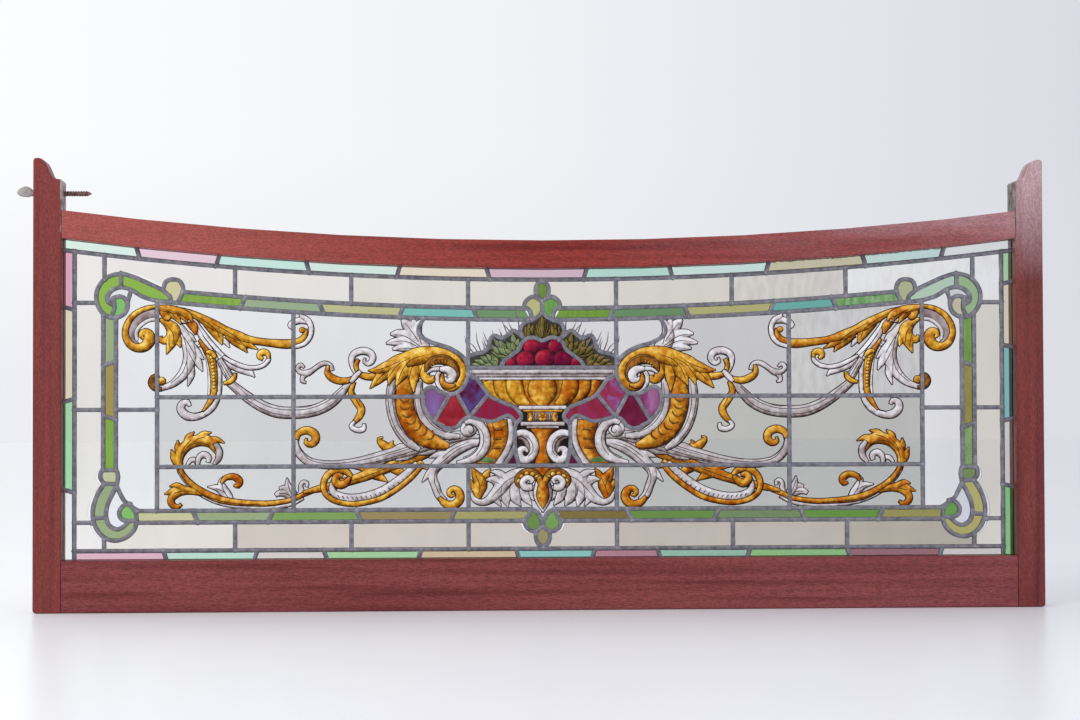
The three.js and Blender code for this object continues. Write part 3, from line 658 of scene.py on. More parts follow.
# How far apart and how high the ripples of each make of sheet are, in millimetres.
DRAWN_RIPPLE = (40, 0.05)
WHITE_RIPPLE = (60, 0.04)
REAMY_RIPPLE = (7, 0.5)
PANES = {
    "pale_drawn_sheet": ("#f6f2ee", DRAWN_RIPPLE, [
        "clear_field_corner_top_left", "clear_field_top_outer_left", "clear_field_corner_bottom_left"]),
    "straw_drawn_sheet": ("#f3f0e9", DRAWN_RIPPLE, [
        "clear_field_top_second_left", "clear_field_side_upper_left", "clear_field_side_lower_left"]),
    "cream_drawn_sheet": ("#ece7dd", DRAWN_RIPPLE, both("clear_field_top_inner") + [
        "clear_field_bottom_outer_left", "clear_field_top_third_left"]),
    "grey_drawn_sheet": ("#e8e3d7", DRAWN_RIPPLE, ["clear_field_top_third_right"]),
    "ivory_drawn_sheet": ("#ece7da", DRAWN_RIPPLE, [
        "clear_field_side_lower_right", "clear_field_corner_bottom_right",
        "clear_field_side_upper_right"]),
    "reamy_grey_sheet": ("#e4e0d6", REAMY_RIPPLE, ["clear_field_top_second_right"]),
    # The bottom row's sheets, and the grey sheet of the right-hand painted panes, carry painted shade in
    # their tints over the glass's own colour: darker towards the bottom and the right.
    "shaded_low_drawn_sheet": ("#d9cec1", DRAWN_RIPPLE, both("clear_field_bottom_inner") + [
        "clear_field_bottom_second_left", "clear_field_bottom_third_left"]),
    "shaded_low_right_drawn_sheet": ("#cec3b5", DRAWN_RIPPLE, [
        "clear_field_bottom_second_right", "clear_field_bottom_third_right"]),
    "darkest_shaded_drawn_sheet": ("#c3baa9", DRAWN_RIPPLE, ["clear_field_bottom_outer_right"]),
    "white_sheet": ("#f5f6f6", WHITE_RIPPLE, [
        "clear_column_upper_left", "clear_column_lower_left", "painted_outer_top_left"]),
    "cool_white_sheet": ("#f0f0f0", WHITE_RIPPLE, [
        "clear_scroll_light_left", "clear_spray_light_left", "painted_inner_top_left"]),
    "second_white_sheet": ("#e8e7e7", WHITE_RIPPLE, [
        "clear_scroll_light_right", "clear_spray_light_right"]),
    "column_white_sheet": ("#f9f8f6", WHITE_RIPPLE, [
        "clear_column_upper_right", "clear_column_lower_right"]),
    "pearl_sheet": ("#e1e1df", WHITE_RIPPLE, [
        "painted_outer_middle_left", "painted_outer_bottom_left"]),
    "silver_grey_sheet": ("#dad9d7", WHITE_RIPPLE, [
        "painted_inner_middle_left", "painted_inner_bottom_left", "painted_urn", "painted_cartouche",
        "painted_inner_top_right"]),
    "shaded_right_white_sheet": ("#cdcdc6", WHITE_RIPPLE, [
        "painted_outer_middle_right", "painted_outer_bottom_right", "painted_inner_middle_right",
        "painted_inner_bottom_right"]),
    "reamy_white_sheet": ("#dfdeda", REAMY_RIPPLE, ["painted_outer_top_right"]),
}
for name, (tint, ripple, panes) in PANES.items():
    dress(panes, sheet_glass(name, tint, *ripple))
dress(["clear_field_corner_top_right", "clear_field_top_outer_right"],
      sheet_glass("gleaming_reamy_sheet", "#fffefa", 9, 0.35, gleam=0.6))

# ---------------------------------------------------------------------------------------
# The coloured glass: border strips in pale tints, the green and olive ribbon band with its
# corner loops and balls, the buds over and under the middle, and the ruby and violet
# pieces beside the bowl. Every one is 3 mm cathedral glass, cut to its leads.

# Panes stand back from the middle of their leads, where the came's heart is. A corner that keeps less
# than LEAST_ROOM of that distance is left out.
GLASS_HALF_THICKNESS = 1.5
CUT_BACK = 1.25
LEAST_ROOM = 0.93
SHORTEST_EDGE = 0.4
STRIP_POINTS = 9


def stretch(line, start, end):
    """The part of a line between its points nearest to `start` and `end`, in that order."""
    i, j = [int(np.linalg.norm(line[:, :2] - point, axis=1).argmin()) for point in (start, end)]
    return line[i:j + 1] if i <= j else line[j:i + 1][::-1]


def uncrossed(loop):
    """The closed outline with its small knots undone: where an edge crosses the third or the second
    one after it, the points between the two give way to the crossing."""
    for gap in (3, 2):
        edge, later = np.roll(loop, -1, axis=0) - loop, np.roll(loop, -gap, axis=0)
        later_edge = np.roll(loop, -gap - 1, axis=0) - later
        apart = later - loop
        turn = edge[:, 0] * later_edge[:, 1] - edge[:, 1] * later_edge[:, 0] + 1e-12
        on_edge = (apart[:, 0] * later_edge[:, 1] - apart[:, 1] * later_edge[:, 0]) / turn
        on_later = (apart[:, 0] * edge[:, 1] - apart[:, 1] * edge[:, 0]) / turn
        crossings = loop + edge * on_edge[:, None]
        kept = np.full(len(loop), True)
        for i in np.flatnonzero((np.abs(on_edge - 0.5) < 0.5) & (np.abs(on_later - 0.5) < 0.5)):
            loop[(i + 1) % len(loop)] = crossings[i]
            kept[np.arange(i + 2, i + gap + 1) % len(loop)] = False
        loop = loop[kept]
    return loop


def pane(*lines):
    """A slab of glass inside the closed outline that the lines make: every point moves inwards, along
    the mean of its two edges' normals, to clear the came's heart, and is left out where that brings it
    too near another edge. Front and back are one face each."""
    loop = np.vstack([np.asarray(line, float).reshape(-1, 2) for line in lines])
    loop = loop[np.linalg.norm(loop - np.roll(loop, 1, axis=0), axis=1) > SHORTEST_EDGE]
    ahead = np.roll(loop, -1, axis=0)
    if np.sum(loop[:, 0] * ahead[:, 1] - ahead[:, 0] * loop[:, 1]) < 0:
        loop = loop[::-1]
    edges = np.roll(loop, -1, axis=0) - loop
    normals = np.stack([-edges[:, 1], edges[:, 0]], 1) / np.linalg.norm(edges, axis=1, keepdims=True)
    inward = normals + np.roll(normals, 1, axis=0)
    inward /= np.maximum(np.linalg.norm(inward, axis=1, keepdims=True), 0.3)
    inset = loop + inward * CUT_BACK
    lead_heart = even(np.vstack([loop, loop[:1]]), SHORTEST_EDGE)
    room = np.linalg.norm(inset[:, None] - lead_heart[None], axis=2).min(axis=1)
    loop = uncrossed(inset[room > LEAST_ROOM * CUT_BACK * np.abs(np.sum(inward * normals, axis=1))])
    n = len(loop)
    depth = np.full(n, GLASS_HALF_THICKNESS)
    points = np.vstack([np.stack([loop[:, 0], -depth, loop[:, 1]], 1),
                        np.stack([loop[:, 0], depth, loop[:, 1]], 1)])
    i = np.arange(n)
    rim = np.stack([i, i + n, (i + 1) % n + n, (i + 1) % n], 1)
    return points, [i[None], (i + n)[None, ::-1], rim]


def tinted(part, tint, streak=None, rolled=0.0):
    """The same slab with its own colour, the colour of its streaks and how deeply it is rolled."""
    count = len(part[0])
    return *part, {"tint": np.tile(srgb(tint), (count, 1)), "rolled": np.full(count, rolled),
                   "streak": np.tile(srgb(streak or tint), (count, 1))}


def strips(low, high, bounds, colours, upright=False):
    """The pieces of one strip between the lines low and high. bounds are the places and leans of the
    cuts between them, ends included, and each piece runs from one cut to the next."""
    made = []
    for (a, lean_a), (b, lean_b), colour in zip(bounds, bounds[1:], colours):
        under = np.linspace(a - lean_a / 2, b - lean_b / 2, STRIP_POINTS)
        over = np.linspace(a + lean_a / 2, b + lean_b / 2, STRIP_POINTS)
        lower, upper = np.stack([under, low(under)], 1), np.stack([over, high(over)], 1)
        if upright:
            lower, upper = lower[:, ::-1], upper[:, ::-1]
        made.append(tinted(pane(lower, upper[::-1]), *colour))
    return made


def at(height):
    """A straight line for strips(): the same height everywhere along it."""
    return lambda along: np.full_like(along, height)


def side_strips(side, low_x, high_x, foot, ties, head, colours):
    """The pieces of an upright strip on the left (-1) or the right (1), from its foot to its head."""
    cuts = [(foot, 0)] + [(z, side * rise) for z, rise in ties[::-1]] + [(head, 0)]
    return strips(at(side * low_x), at(side * high_x), cuts, colours, upright=True)


# A pane's own values, and the bright, smooth skin that all rolled glass has from the heat.
TINT_VALUES = ("tint", "streak", "rolled")
FIRE_POLISHED = {"Transmission Weight": 1.0, "Roughness": 0.02, "IOR": 1.5, "Specular IOR Level": 0.06}


def cathedral_glass(name, streak_mm, sheen="#ffffff"):
    """Machine-rolled coloured glass: even in tint but for faint streaks of its second colour, which
    are streak_mm wide and four times as long, and a hammered face where it is rolled."""
    made, tree, shader, place = finish(name, {**FIRE_POLISHED, "Specular Tint": srgb(sheen)})
    tint, streak, rolled = [node(tree, "ShaderNodeAttribute", attribute_name=a) for a in TINT_VALUES]
    scale = 1000 / streak_mm
    turned = node(tree, "ShaderNodeMapping", {
        "Vector": place, "Rotation": (0, 0.7, 0), "Scale": (scale, scale, scale / 4)})
    clouds = node(tree, "ShaderNodeTexNoise", {
        "Vector": turned, "Scale": 1.0, "Detail": 2.0, "Distortion": 0.6})
    share = node(tree, "ShaderNodeMapRange", {"Value": clouds, "From Min": 0.4, "From Max": 0.62})
    colour = node(tree, "ShaderNodeMix", {"Factor": share, 6: tint, 7: streak}, data_type="RGBA")
    hammer = node(tree, "ShaderNodeTexNoise", {"Vector": place, "Scale": 1000 / 5, "Detail": 2.0})
    height = node(tree, "ShaderNodeMath", {0: hammer, 1: rolled.outputs["Fac"]}, operation="MULTIPLY")
    bump = node(tree, "ShaderNodeBump", {"Height": height, "Strength": 1.0, "Distance": 0.0006})
    wire(tree, shader, {"Base Color": colour, "Normal": bump})
    return made


cathedral = cathedral_glass("cathedral_glass", 6)


def coloured_glass(name, parts, made=cathedral):
    """One object of coloured panes, in the cathedral glass unless another is given."""
    piece = mesh_object(name, parts, made, TINT_VALUES)
    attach(piece, "root")
    return piece


STRIP_HEAD_Z = 430
BAND_FOOT_Z, BAND_HEAD_Z = 167, 348
coloured_glass("border_strips_top", strips(
    lambda x: arch_height(BORDER_CROWN, x), lambda x: arch_height(PANEL_CROWN, x),
    [(-PANEL_X, 0), *TOP_BORDER_TIES, (PANEL_X, 0)],
    [("#e2f6ec",), ("#efd2de",), ("#cdf0e4",), ("#dff2e8",), ("#efe1ca",), ("#dcbccb",), ("#bde3d5",),
     ("#d5eee4",), ("#d2cbac", None, 0.7), ("#cfe9e4", None, 0.7), ("#eef2ee",)]))
coloured_glass("border_strips_bottom", strips(
    at(PANEL_Z), at(BORDER_Z), [(-BORDER_X, 0), *BOTTOM_BORDER_TIES, (BORDER_X, 0)],
    [("#e0b4c0",), ("#bfe0cf",), ("#dad1cb",), ("#a5d39c",), ("#d2bb98",), ("#8cc7bd",), ("#b47e8a",),
     ("#97bfa9",), ("#8fc27e",), ("#9a6a6f",), ("#d9d4cd",)]))
coloured_glass("border_strips_left", side_strips(
    -1, BORDER_X, PANEL_X, PANEL_Z, LEFT_BORDER_TIES, STRIP_HEAD_Z,
    [("#f0f0ec",), ("#a9dfae",), ("#e6dcc0",), ("#e0a8ba",)]))
coloured_glass("border_strips_right", side_strips(
    1, BORDER_X, PANEL_X, PANEL_Z, RIGHT_BORDER_TIES, STRIP_HEAD_Z,
    [("#8ccb84",), ("#e0dcd8",), ("#86c6c2",), ("#e4dcc0",), ("#b5dcae",)]))


def band_low(x):
    return arch_height(BAND_UNDER_CROWN, x)


def band_high(x):
    return arch_height(BAND_CROWN, x)


coloured_glass("band_strips_top_left", strips(
    band_low, band_high, [(-430, 6), *TOP_BAND_TIES[:4], (-17, -7)],
    [("#8cb840", "#7da838"), ("#9db58e",), ("#c6c592",), ("#7cc6bb",), ("#6f9865",)]))
coloured_glass("band_strips_top_right", strips(
    band_low, band_high, [(17, 7), *TOP_BAND_TIES[4:], (430, -6)],
    [("#76a52c", "#6b9628"), ("#69905f",), ("#bab777",), ("#6cb7ad",), ("#5f9a4a", "#9fc48e", 1.0)]))
coloured_glass("band_strips_bottom_left", strips(
    at(BAND_SILL_UNDER), at(BAND_SILL), [(-480.8, -2), *BOTTOM_BAND_TIES[:4], (-19, 6)],
    [("#cbc99a",), ("#99ab7d",), ("#7ba24e",), ("#9a8850",), ("#a8a363",)]))
coloured_glass("band_strips_bottom_right", strips(
    at(BAND_SILL_UNDER), at(BAND_SILL), [(19, -6), *BOTTOM_BAND_TIES[4:], (480.8, 2)],
    [("#7f6c26",), ("#659234",), ("#75905a",), ("#669a33",), ("#a09b52",)]))
coloured_glass("band_strips_left", side_strips(
    -1, BAND_INNER_X, BAND_OUTER_X, BAND_FOOT_Z, LEFT_BAND_TIES, BAND_HEAD_Z,
    [("#82b038",), ("#a89846",), ("#9db482",)]))
coloured_glass("band_strips_right", side_strips(
    1, BAND_INNER_X, BAND_OUTER_X, BAND_FOOT_Z, RIGHT_BAND_TIES, BAND_HEAD_Z,
    [("#7d9c5e", "#90b26e", 0.8), ("#8f8438", "#a89c50", 0.8), ("#6a9a38", "#86b050", 0.8)]))


def corner_panes():
    """Outlines of the ten pieces of one upper and one lower corner, on the left: loop in two
    parts, ball, crescent and bud above; round, loop in two parts, crescent and ball below."""
    top, low = (-499.5, 399.4), (-532, 110)
    return {
        "loop_over": (stretch(upper_loop, (-450, 380), top),
                      stretch(upper_loop_inside, (-499.5, 383.4), (-457, 367)),
                      [(-441, 365.7)], upper_bud_side[::-1]),
        "loop_round": (stretch(upper_loop, top, (-512, 348.3)), upper_ball_side[::-1][:8],
                       stretch(upper_loop_inside, (-508.3, 362.5), (-499.5, 383.4))),
        "upper_ball": (stretch(upper_ball, (-508.5, 370.5), (-505.3, 347)), [(-512, 348.3)],
                       upper_ball_side[::-1]),
        "upper_crescent": (stretch(upper_loop_inside, (-487.5, 380), (-515.8, 371.2)),
                           stretch(upper_ball, (-514.5, 366.5), (-491.7, 366))),
        "bud": (upper_bud, [(-441, 365.8)], upper_bud_side[::-1]),
        "round": (lower_round_left, lower_round_right[::-1]),
        "loop_upright": (stretch(lower_loop, (-519, 151), low),
                         stretch(lower_loop_inside, (-516.8, 111), (-504.4, 148))),
        "loop_foot": (stretch(lower_loop, low, (-480.3, 106)),
                      stretch(lower_loop_inside, (-490.5, 106.5), (-516.8, 111))),
        "lower_crescent": (lower_loop_inside, stretch(lower_ball, (-494, 107.2), (-489, 127.3)),
                           stretch(lower_crescent, (-488.5, 126), (-504.4, 148))),
        "lower_ball": (stretch(lower_ball, (-489, 127.3), (-480.3, 107.3)), lower_ball_side[::-1]),
    }


CORNER_TINTS = {
    "left": {"loop_over": "#8dbb3f", "loop_round": "#8fbb45", "upper_ball": "#84c368",
             "upper_crescent": "#eef0f6", "bud": "#d8d2a2", "round": "#c9cda4", "loop_upright": "#9cab80",
             "loop_foot": "#9bac7c", "lower_crescent": "#f0f0f5", "lower_ball": "#80bd5e"},
    "right": {"loop_over": "#c2dcc2", "loop_round": "#a4c292", "upper_ball": "#d2ccac",
              "upper_crescent": "#dfe3e3", "bud": "#bcc294", "round": "#7c9358", "loop_upright": "#c0bb70",
              "loop_foot": "#bab468", "lower_crescent": "#e6e8ec", "lower_ball": "#68a848"},
}
for side, tints in CORNER_TINTS.items():
    flip = mirrored if side == "right" else np.asarray
    coloured_glass(f"corner_pieces_{side}", [
        tinted(pane(*[flip(line) for line in lines]), tints[name])
        for name, lines in corner_panes().items()])



def pair(lines, left, right):
    """One pane on the left half, and its mirror image on the right half in its own tints."""
    return [tinted(pane(*lines), *left), tinted(pane(*[mirrored(line) for line in lines]), *right)]


crest_leaf = (stretch(crest_leaf_top, (-21.5, 358.1), (-3.5, 369.4)), [(0, 366)], [(0, 355)],
              stretch(crest_shoulder, (0, 354.6), (-11.5, 344.6)), crest_leaf_foot[::-1])
pendant_leaf = (pendant_leaf_inside, pendant_leaf_outside[::-1])
coloured_glass("buds_and_leaves", [
    tinted(pane(crest_drop, mirrored(crest_drop)[::-1]), "#5c7f24", "#7a9c38"),
    *pair(crest_leaf, ("#c0bf84",), ("#5f9a3f", "#7db257")),
    *pair(pendant_leaf, ("#6a9138", "#577f30"), ("#669440", "#7ca84c")),
    tinted(pane([(0, 99), (-5, 94.3)], pendant_drop, mirrored(pendant_drop)[::-1], [(5, 94.3)]), "#9a9060"),
])

wedge = (stretch(volute_round, (-110.3, 255.1), (-128.8, 224.5)),)
wing = (stretch(bowl_side, (-65.5, 254.8), (-30, 221.5)), wing_under[::-1])
small_triangle = (stretch(bowl_side, (-33, 193), (-28.5, LOWER_ROW_Z)), small_triangle_side[::-1])
coloured_glass("ruby_wings_and_violet_wedges", [
    *pair(wedge, ("#8a4f7c", "#8a70b0"), ("#84285a", "#b074a4")),
    *pair(wing, ("#98203a", "#8e2a58"), ("#94283c", "#9c3460")),
    *pair(small_triangle, ("#571a36", "#7c2a48"), ("#571a36", "#7c2a48")),
], cathedral_glass("streaky_flashed_glass", 9, sheen="#606060"))


def dress_streaky(name, tint, streak):
    """Streaky glass for a packed pane: two pot colours that run into each other in 12 mm clouds."""
    made, tree, shader, place = finish(f"streaky_{name}", {
        **FIRE_POLISHED, "Specular Tint": srgb("#606060")})
    clouds = node(tree, "ShaderNodeTexNoise", {
        "Vector": place, "Scale": 1000 / 12, "Detail": 2.0, "Distortion": 0.8})
    colour = node(tree, "ShaderNodeValToRGB", {"Fac": clouds}, stops=[(0.38, tint), (0.62, streak)])
    wire(tree, shader, {"Base Color": colour})
    dress([name], made)


dress_streaky("jewel_ruby_kite_left", "#95202b", "#ae3442")
dress_streaky("jewel_ruby_kite_right", "#6b1634", "#7c2448")
dress_streaky("jewel_violet_diamond_left", "#5c1230", "#5c4a88")
dress_streaky("jewel_violet_diamond_right", "#a02c44", "#9560a0")

# ---------------------------------------------------------------------------------------
# The painting: scrolls, an urn of fruit and foliage, fired on the glass. Each form is
# outlined in black trace, then filled with silver stain, grey-white matt or coloured enamel
# and shaded as if it were lit from the upper left.

# Films start just clear of the glass, each a layer's step further out. Both are in millimetres, as is
# the width of the trace line round a form. So many points lie across and along the forms.
GLASS_FACE = 1.53
LAYER = 0.0015
OUTLINE = 1.0
LIT_FROM = np.array([-0.55, 0.835])
COLUMNS = 7
AREA_ROWS = 28
BALL_ROWS = 13
coats = {kind: [] for kind in (
    "gold", "white", "umber", "black", "leaf", "fruit", "green", "wash", "trace")}


def film(kind, left, right, tone=0.0, lit=None):
    """A film of paint between a left and a right edge of as many points: each row runs straight from
    the right edge to the left one, the way round that makes its faces look forwards. `lit` is how
    squarely a rounded form faces the light there: the place across, from -1 to 1, times the crosswise
    direction's share of the light. Every film lies one layer further out than the film before it."""
    columns = 2 if kind == "trace" else COLUMNS
    along, across = np.diff((left + right) / 2, axis=0), (left - right)[:-1]
    if np.sum(along[:, 0] * across[:, 1] - along[:, 1] * across[:, 0]) < 0:
        left, right = left[::-1], right[::-1]
    v = np.linspace(-1, 1, columns)[None, :, None]
    plane = right[:, None] * (1 - v) / 2 + left[:, None] * (1 + v) / 2
    crosswise = left - right
    crosswise /= np.maximum(np.linalg.norm(crosswise, axis=1, keepdims=True), 1e-6)
    if lit is None:
        lit = v[..., 0] * (crosswise @ LIT_FROM)[:, None]
    depth = -GLASS_FACE - LAYER * (1 + film.laid)
    points = np.stack([plane[..., 0], np.full(plane.shape[:2], depth), plane[..., 1]], -1)
    spread = np.broadcast_to(np.abs(v[..., 0]), plane.shape[:2])
    coats[kind].append((points.reshape(-1, 3), [grid_faces(len(left), columns)[:, ::-1]], {
        "lit": lit.reshape(-1), "tone": np.full(lit.size, float(tone)), "edge": spread.reshape(-1)}))
    film.laid += 1


# How many films lie under the next one. A part of the painting that touches no other starts at 0.
film.laid = 0


def edges(spine, spacing=2.25):
    """Both edges of a form whose middle line runs through (x, z, width) points."""
    path = bent(*spine, spacing=spacing)
    reach = sides(path)[1] * np.maximum(path[:, 2:3], 0.1) / 2
    return path[:, :2] + reach, path[:, :2] - reach


def widened(left, right, by):
    """The same two edges, moved outwards by a brush line's width and drawn on past both ends."""
    out = left - right
    out = by * out / np.maximum(np.linalg.norm(out, axis=1, keepdims=True), 1e-6)
    middle = (left + right) / 2
    start = by * (middle[0] - middle[1]) / np.linalg.norm(middle[0] - middle[1])
    finish_run = by * (middle[-1] - middle[-2]) / np.linalg.norm(middle[-1] - middle[-2])
    left, right = left + out, right - out
    return (np.vstack([left[:1] + start, left, left[-1:] + finish_run]),
            np.vstack([right[:1] + start, right, right[-1:] + finish_run]))


def lay(kind, ribbons, tone=0.0, other_tone=None, outline=OUTLINE, veins=(), single=False):
    """One painted form on each half of the window, made of ribbons that run into one another. All
    their outlines are laid before all their fills, so black shows only round the whole form."""
    for other in (False,) if single else (False, True):
        sets = [(mirrored(right), mirrored(left)) if other else (left, right) for left, right in ribbons]
        for left, right in sets if outline else []:
            film("trace", *widened(left, right, outline))
        for left, right in sets:
            film(kind, left, right, tone if not other or other_tone is None else other_tone)
        for vein in veins:
            line = mirrored(vein) if other else np.asarray(vein, float)
            film("trace", *edges(line))


def stroke(kind, *spine, **options):
    """A form with one middle line through the points, each (x, z, width)."""
    lay(kind, [edges(spine)], **options)


def leaf(kind, body, *lobes, veins=(), **options):
    """A body and its lobes, each a middle line of (x, z, width), as one form."""
    lay(kind, [edges(lobe) for lobe in lobes] + [edges(body)], veins=[
        [(x, z, 0.9 if k else 0.4) for k, (x, z) in enumerate(vein)] for vein in veins], **options)


def area(kind, left, right, fair=True, **options):
    """A form between a left and a right line of as many points, drawn in the same direction."""
    rows = np.linspace(0, 1, AREA_ROWS)
    lines = []
    for line in (left, right):
        drawn = bent(*line) if fair else even(line, 1.5)
        own = np.linspace(0, 1, len(drawn))
        lines.append(np.stack([np.interp(rows, own, drawn[:, i]) for i in (0, 1)], 1))
    lay(kind, [tuple(lines)], **options)


def ball(kind, x, z, radius, tone=0.0, other_tone=None, single=False, outline=0.8):
    """A round form: its half-widths are the circle's own, and it is lit as a dome is."""
    a = np.linspace(0.1, np.pi - 0.1, BALL_ROWS)
    v = np.linspace(-1, 1, COLUMNS)
    dome = np.stack([np.broadcast_to(-np.cos(a)[:, None], (BALL_ROWS, COLUMNS)), np.sin(a)[:, None] * v], -1)
    for side in (1,) if single else (1, -1):
        def circle(r):
            middle = np.stack([side * x - r * np.cos(a), np.full(BALL_ROWS, z)], 1)
            reach = np.stack([0 * a, r * np.sin(a)], 1)
            return middle + reach, middle - reach
        if outline:
            film("trace", *circle(radius + outline))
        film(kind, *circle(radius), tone if side > 0 or other_tone is None else other_tone, dome @ LIT_FROM)


def fan(kind, root, tips, width, spread=0.35, **options):
    """Pointed leaflets from one root, outer ones first: each is widest in its middle and leaves the
    root a little towards its own tip."""
    for tip in tips:
        root_point, tip_point = np.array(root, float), np.array(tip, float)
        start = root_point + (tip_point - root_point) * spread
        middle = (start + tip_point) / 2
        stroke(kind, (*start, 1.2), (*middle, width), (*tip_point, 0.3), outline=0.7, **options)


# The outer scroll: a volute round the column's top, with its long stem to the right, and the
# acanthus, beaded stem, reeds and swag that hang from it.
stroke("white", (-456, 352.5, 12), (-469, 350, 13), (-480.5, 341, 12), (-486.5, 330, 9), (-486, 321, 6),
       (-479.5, 315.5, 3), tone=0.75)
stroke("white", (-457, 345.5, 4), (-468, 343.5, 4), (-477, 337, 4), (-481.5, 329, 4), (-480.5, 320.5, 3),
       tone=0.1, outline=0.4)
stroke("gold", (-456.5, 360.5, 4), (-471.8, 357.6, 5), (-485.2, 349.5, 6), (-493, 337, 6.5),
       (-493.8, 325.5, 7), (-488.9, 316, 8), (-480.7, 311.6, 9), (-471.8, 313.1, 11), (-466.4, 319.8, 13),
       (-467.5, 327.5, 12), (-473.2, 329.8, 8), (-475.6, 325.4, 5), (-472.4, 322.4, 2), tone=0.0,
       other_tone=0.2)
leaf("white",
     [(-449, 347, 6), (-438, 341.5, 9), (-428, 330.5, 12), (-420.5, 316, 14), (-418, 301, 15),
      (-422, 287, 13), (-430, 276, 10), (-441, 267.5, 7), (-457, 262.3, 5)],
     [(-417, 314, 9), (-409.5, 305.5, 8), (-402, 298, 0.6)],
     [(-416, 303, 11), (-408.5, 294, 9), (-403.5, 284, 0.6)],
     [(-420, 291, 11), (-417, 279.5, 8), (-420.6, 266.5, 0.6)],
     [(-425, 330, 6), (-417.5, 325, 6), (-411.5, 319, 0.6)],
     veins=[[(-440, 343), (-428, 329), (-422.5, 312), (-422, 296), (-428, 281), (-441, 269.5)],
            [(-431, 332), (-421, 318), (-413, 304)], [(-421, 309), (-416, 299), (-411, 290)],
            [(-422, 299), (-421.5, 288), (-421.5, 277)]], tone=0.12)
stroke("umber", (-452, 262.5, 4), (-459, 263.5, 6), (-463, 269.5, 8), (-461, 276, 7), (-455, 278.5, 4))
ball("gold", -451.5, 272, 4.6, tone=0.1)
leaf("gold",
     [(-453.5, 345, 3), (-444, 339.8, 10), (-437.5, 331, 16), (-440, 318.5, 12), (-445.5, 304.5, 0.6)],
     [(-437, 327, 10), (-432.5, 321, 9), (-429.5, 312.5, 0.6)],
     [(-439, 327, 9), (-446, 320.5, 8), (-451.5, 320.8, 7), (-452.8, 325, 3)],
     veins=[[(-447, 340), (-438.5, 329), (-437, 316)], [(-442, 328), (-443, 318), (-441.5, 311)]])
leaf("white",
     [(-413, 346, 4), (-409, 336, 7), (-400.5, 322, 10), (-391.5, 309.5, 12), (-380, 299, 10),
      (-363.5, 288.4, 9), (-349, 283, 8), (-342, 277, 0.6)],
     [(-404, 322, 5), (-405, 315.5, 5), (-409, 313, 0.6)],
     [(-392, 308, 8), (-386.5, 300, 6), (-383, 293.5, 0.6)],
     veins=[[(-410, 339), (-396, 317), (-379, 300), (-358, 287.5)], [(-404, 327), (-392, 311), (-386, 303)]],
     tone=0.0)
stroke("white", (-379, 301, 3), (-368, 294.5, 4.5), (-355, 289, 5), (-343, 287.5, 4.5), (-332.5, 290, 4.5),
       (-326, 296, 4.5), (-325.3, 302.5, 3.5))
stroke("gold", (-325.5, 299.5, 3), (-326.8, 304.8, 6), (-333, 306, 7.5), (-336.3, 301, 6), (-332.5, 297.8, 3))
stroke("white", (-390, 306, 3), (-384.5, 289, 5), (-383.3, 271, 5), (-385, 255, 6), (-391, 242, 7),
       (-400.5, 233.8, 7), (-412, 229.8, 8), (-422, 231.2, 9.5), (-428.6, 238, 9), (-427.3, 245, 8),
       (-421, 246.8, 6), (-418.6, 242.8, 3),
       veins=[[(-385, 262, 0.7), (-391, 247, 0.9), (-402, 236.5, 0.9), (-414, 233, 0.6)]], tone=0.15)
stroke("white", (-405, 315, 2), (-399, 303, 3), (-396.2, 288, 3), (-395, 270, 3), (-396, 256, 2), outline=0.7)
stroke("gold", (-407, 320.5, 3), (-400.6, 311, 5), (-394.4, 302, 8.5), (-391.2, 290, 8.5), (-389.6, 274, 7.5),
       (-390.4, 257.5, 6.5), (-394.9, 247, 5.5), (-403, 236.4, 1.5), tone=0.25, other_tone=0.4)
# Ten beads down the stem.
for step in range(10):
    bead_x = -393 + 0.75 * step - 0.045 * step * step
    ball("gold", bead_x, 300 - 3.9 * step, 1.9, tone=-0.2, outline=0.6)
stroke("gold", (-399, 306, 3), (-395, 306.5, 5), (-390.5, 303.5, 5), (-388.5, 300, 3))
stroke("gold", (-427.5, 346.5, 3), (-419.5, 342.5, 8), (-413.3, 335.5, 9), (-411.5, 327.5, 2), tone=0.55)
leaf("white", [(-390, 335.5, 4), (-382, 328, 7), (-376.8, 320, 7), (-371.8, 312.2, 0.6)],
     [(-437, 349, 5), (-426, 344, 7), (-416.5, 343.5, 0.6)])
leaf("gold",
     [(-441, 359.8, 3), (-420, 353.8, 6), (-404, 346, 9), (-390, 338, 12), (-376, 331.4, 10),
      (-362, 325.4, 11), (-346, 320.5, 8), (-325, 317.4, 8), (-304, 315.8, 10), (-292, 317.8, 8),
      (-285, 321.8, 7), (-281.4, 328.3, 5), (-280.8, 333.5, 1.5)],
     [(-398, 341, 10), (-389, 332, 12), (-383.5, 323.5, 9), (-380.6, 315.5, 0.6)],
     [(-373, 328, 12), (-362, 318.8, 12), (-350.8, 306.2, 0.6)],
     [(-365, 324, 9), (-352, 316.5, 8), (-338.5, 309.8, 0.6)],
     veins=[[(-420, 354), (-402, 344), (-388, 333.5), (-383, 323)], [(-392, 340.5), (-374, 331), (-358, 320)],
            [(-362, 321), (-354.5, 315), (-350, 309.5)]], tone=0.1, other_tone=0.3)
leaf("gold", [(-455, 359, 6), (-443, 357.3, 9), (-430, 354.3, 9), (-420, 349.3, 7), (-415.3, 342.5, 0.6)],
     [(-450, 356, 9), (-447.5, 350, 8), (-443.8, 346.3, 6), (-441.5, 349.5, 2)],
     [(-441, 355, 10), (-434.5, 348.5, 8), (-429, 339.8, 0.6)],
     [(-431, 353, 9), (-424.5, 348, 7), (-421.5, 341.5, 0.6)],
     veins=[[(-452, 358), (-441, 353.5), (-433, 345)], [(-441, 356), (-430, 351.5), (-421, 344)]], tone=0.35)
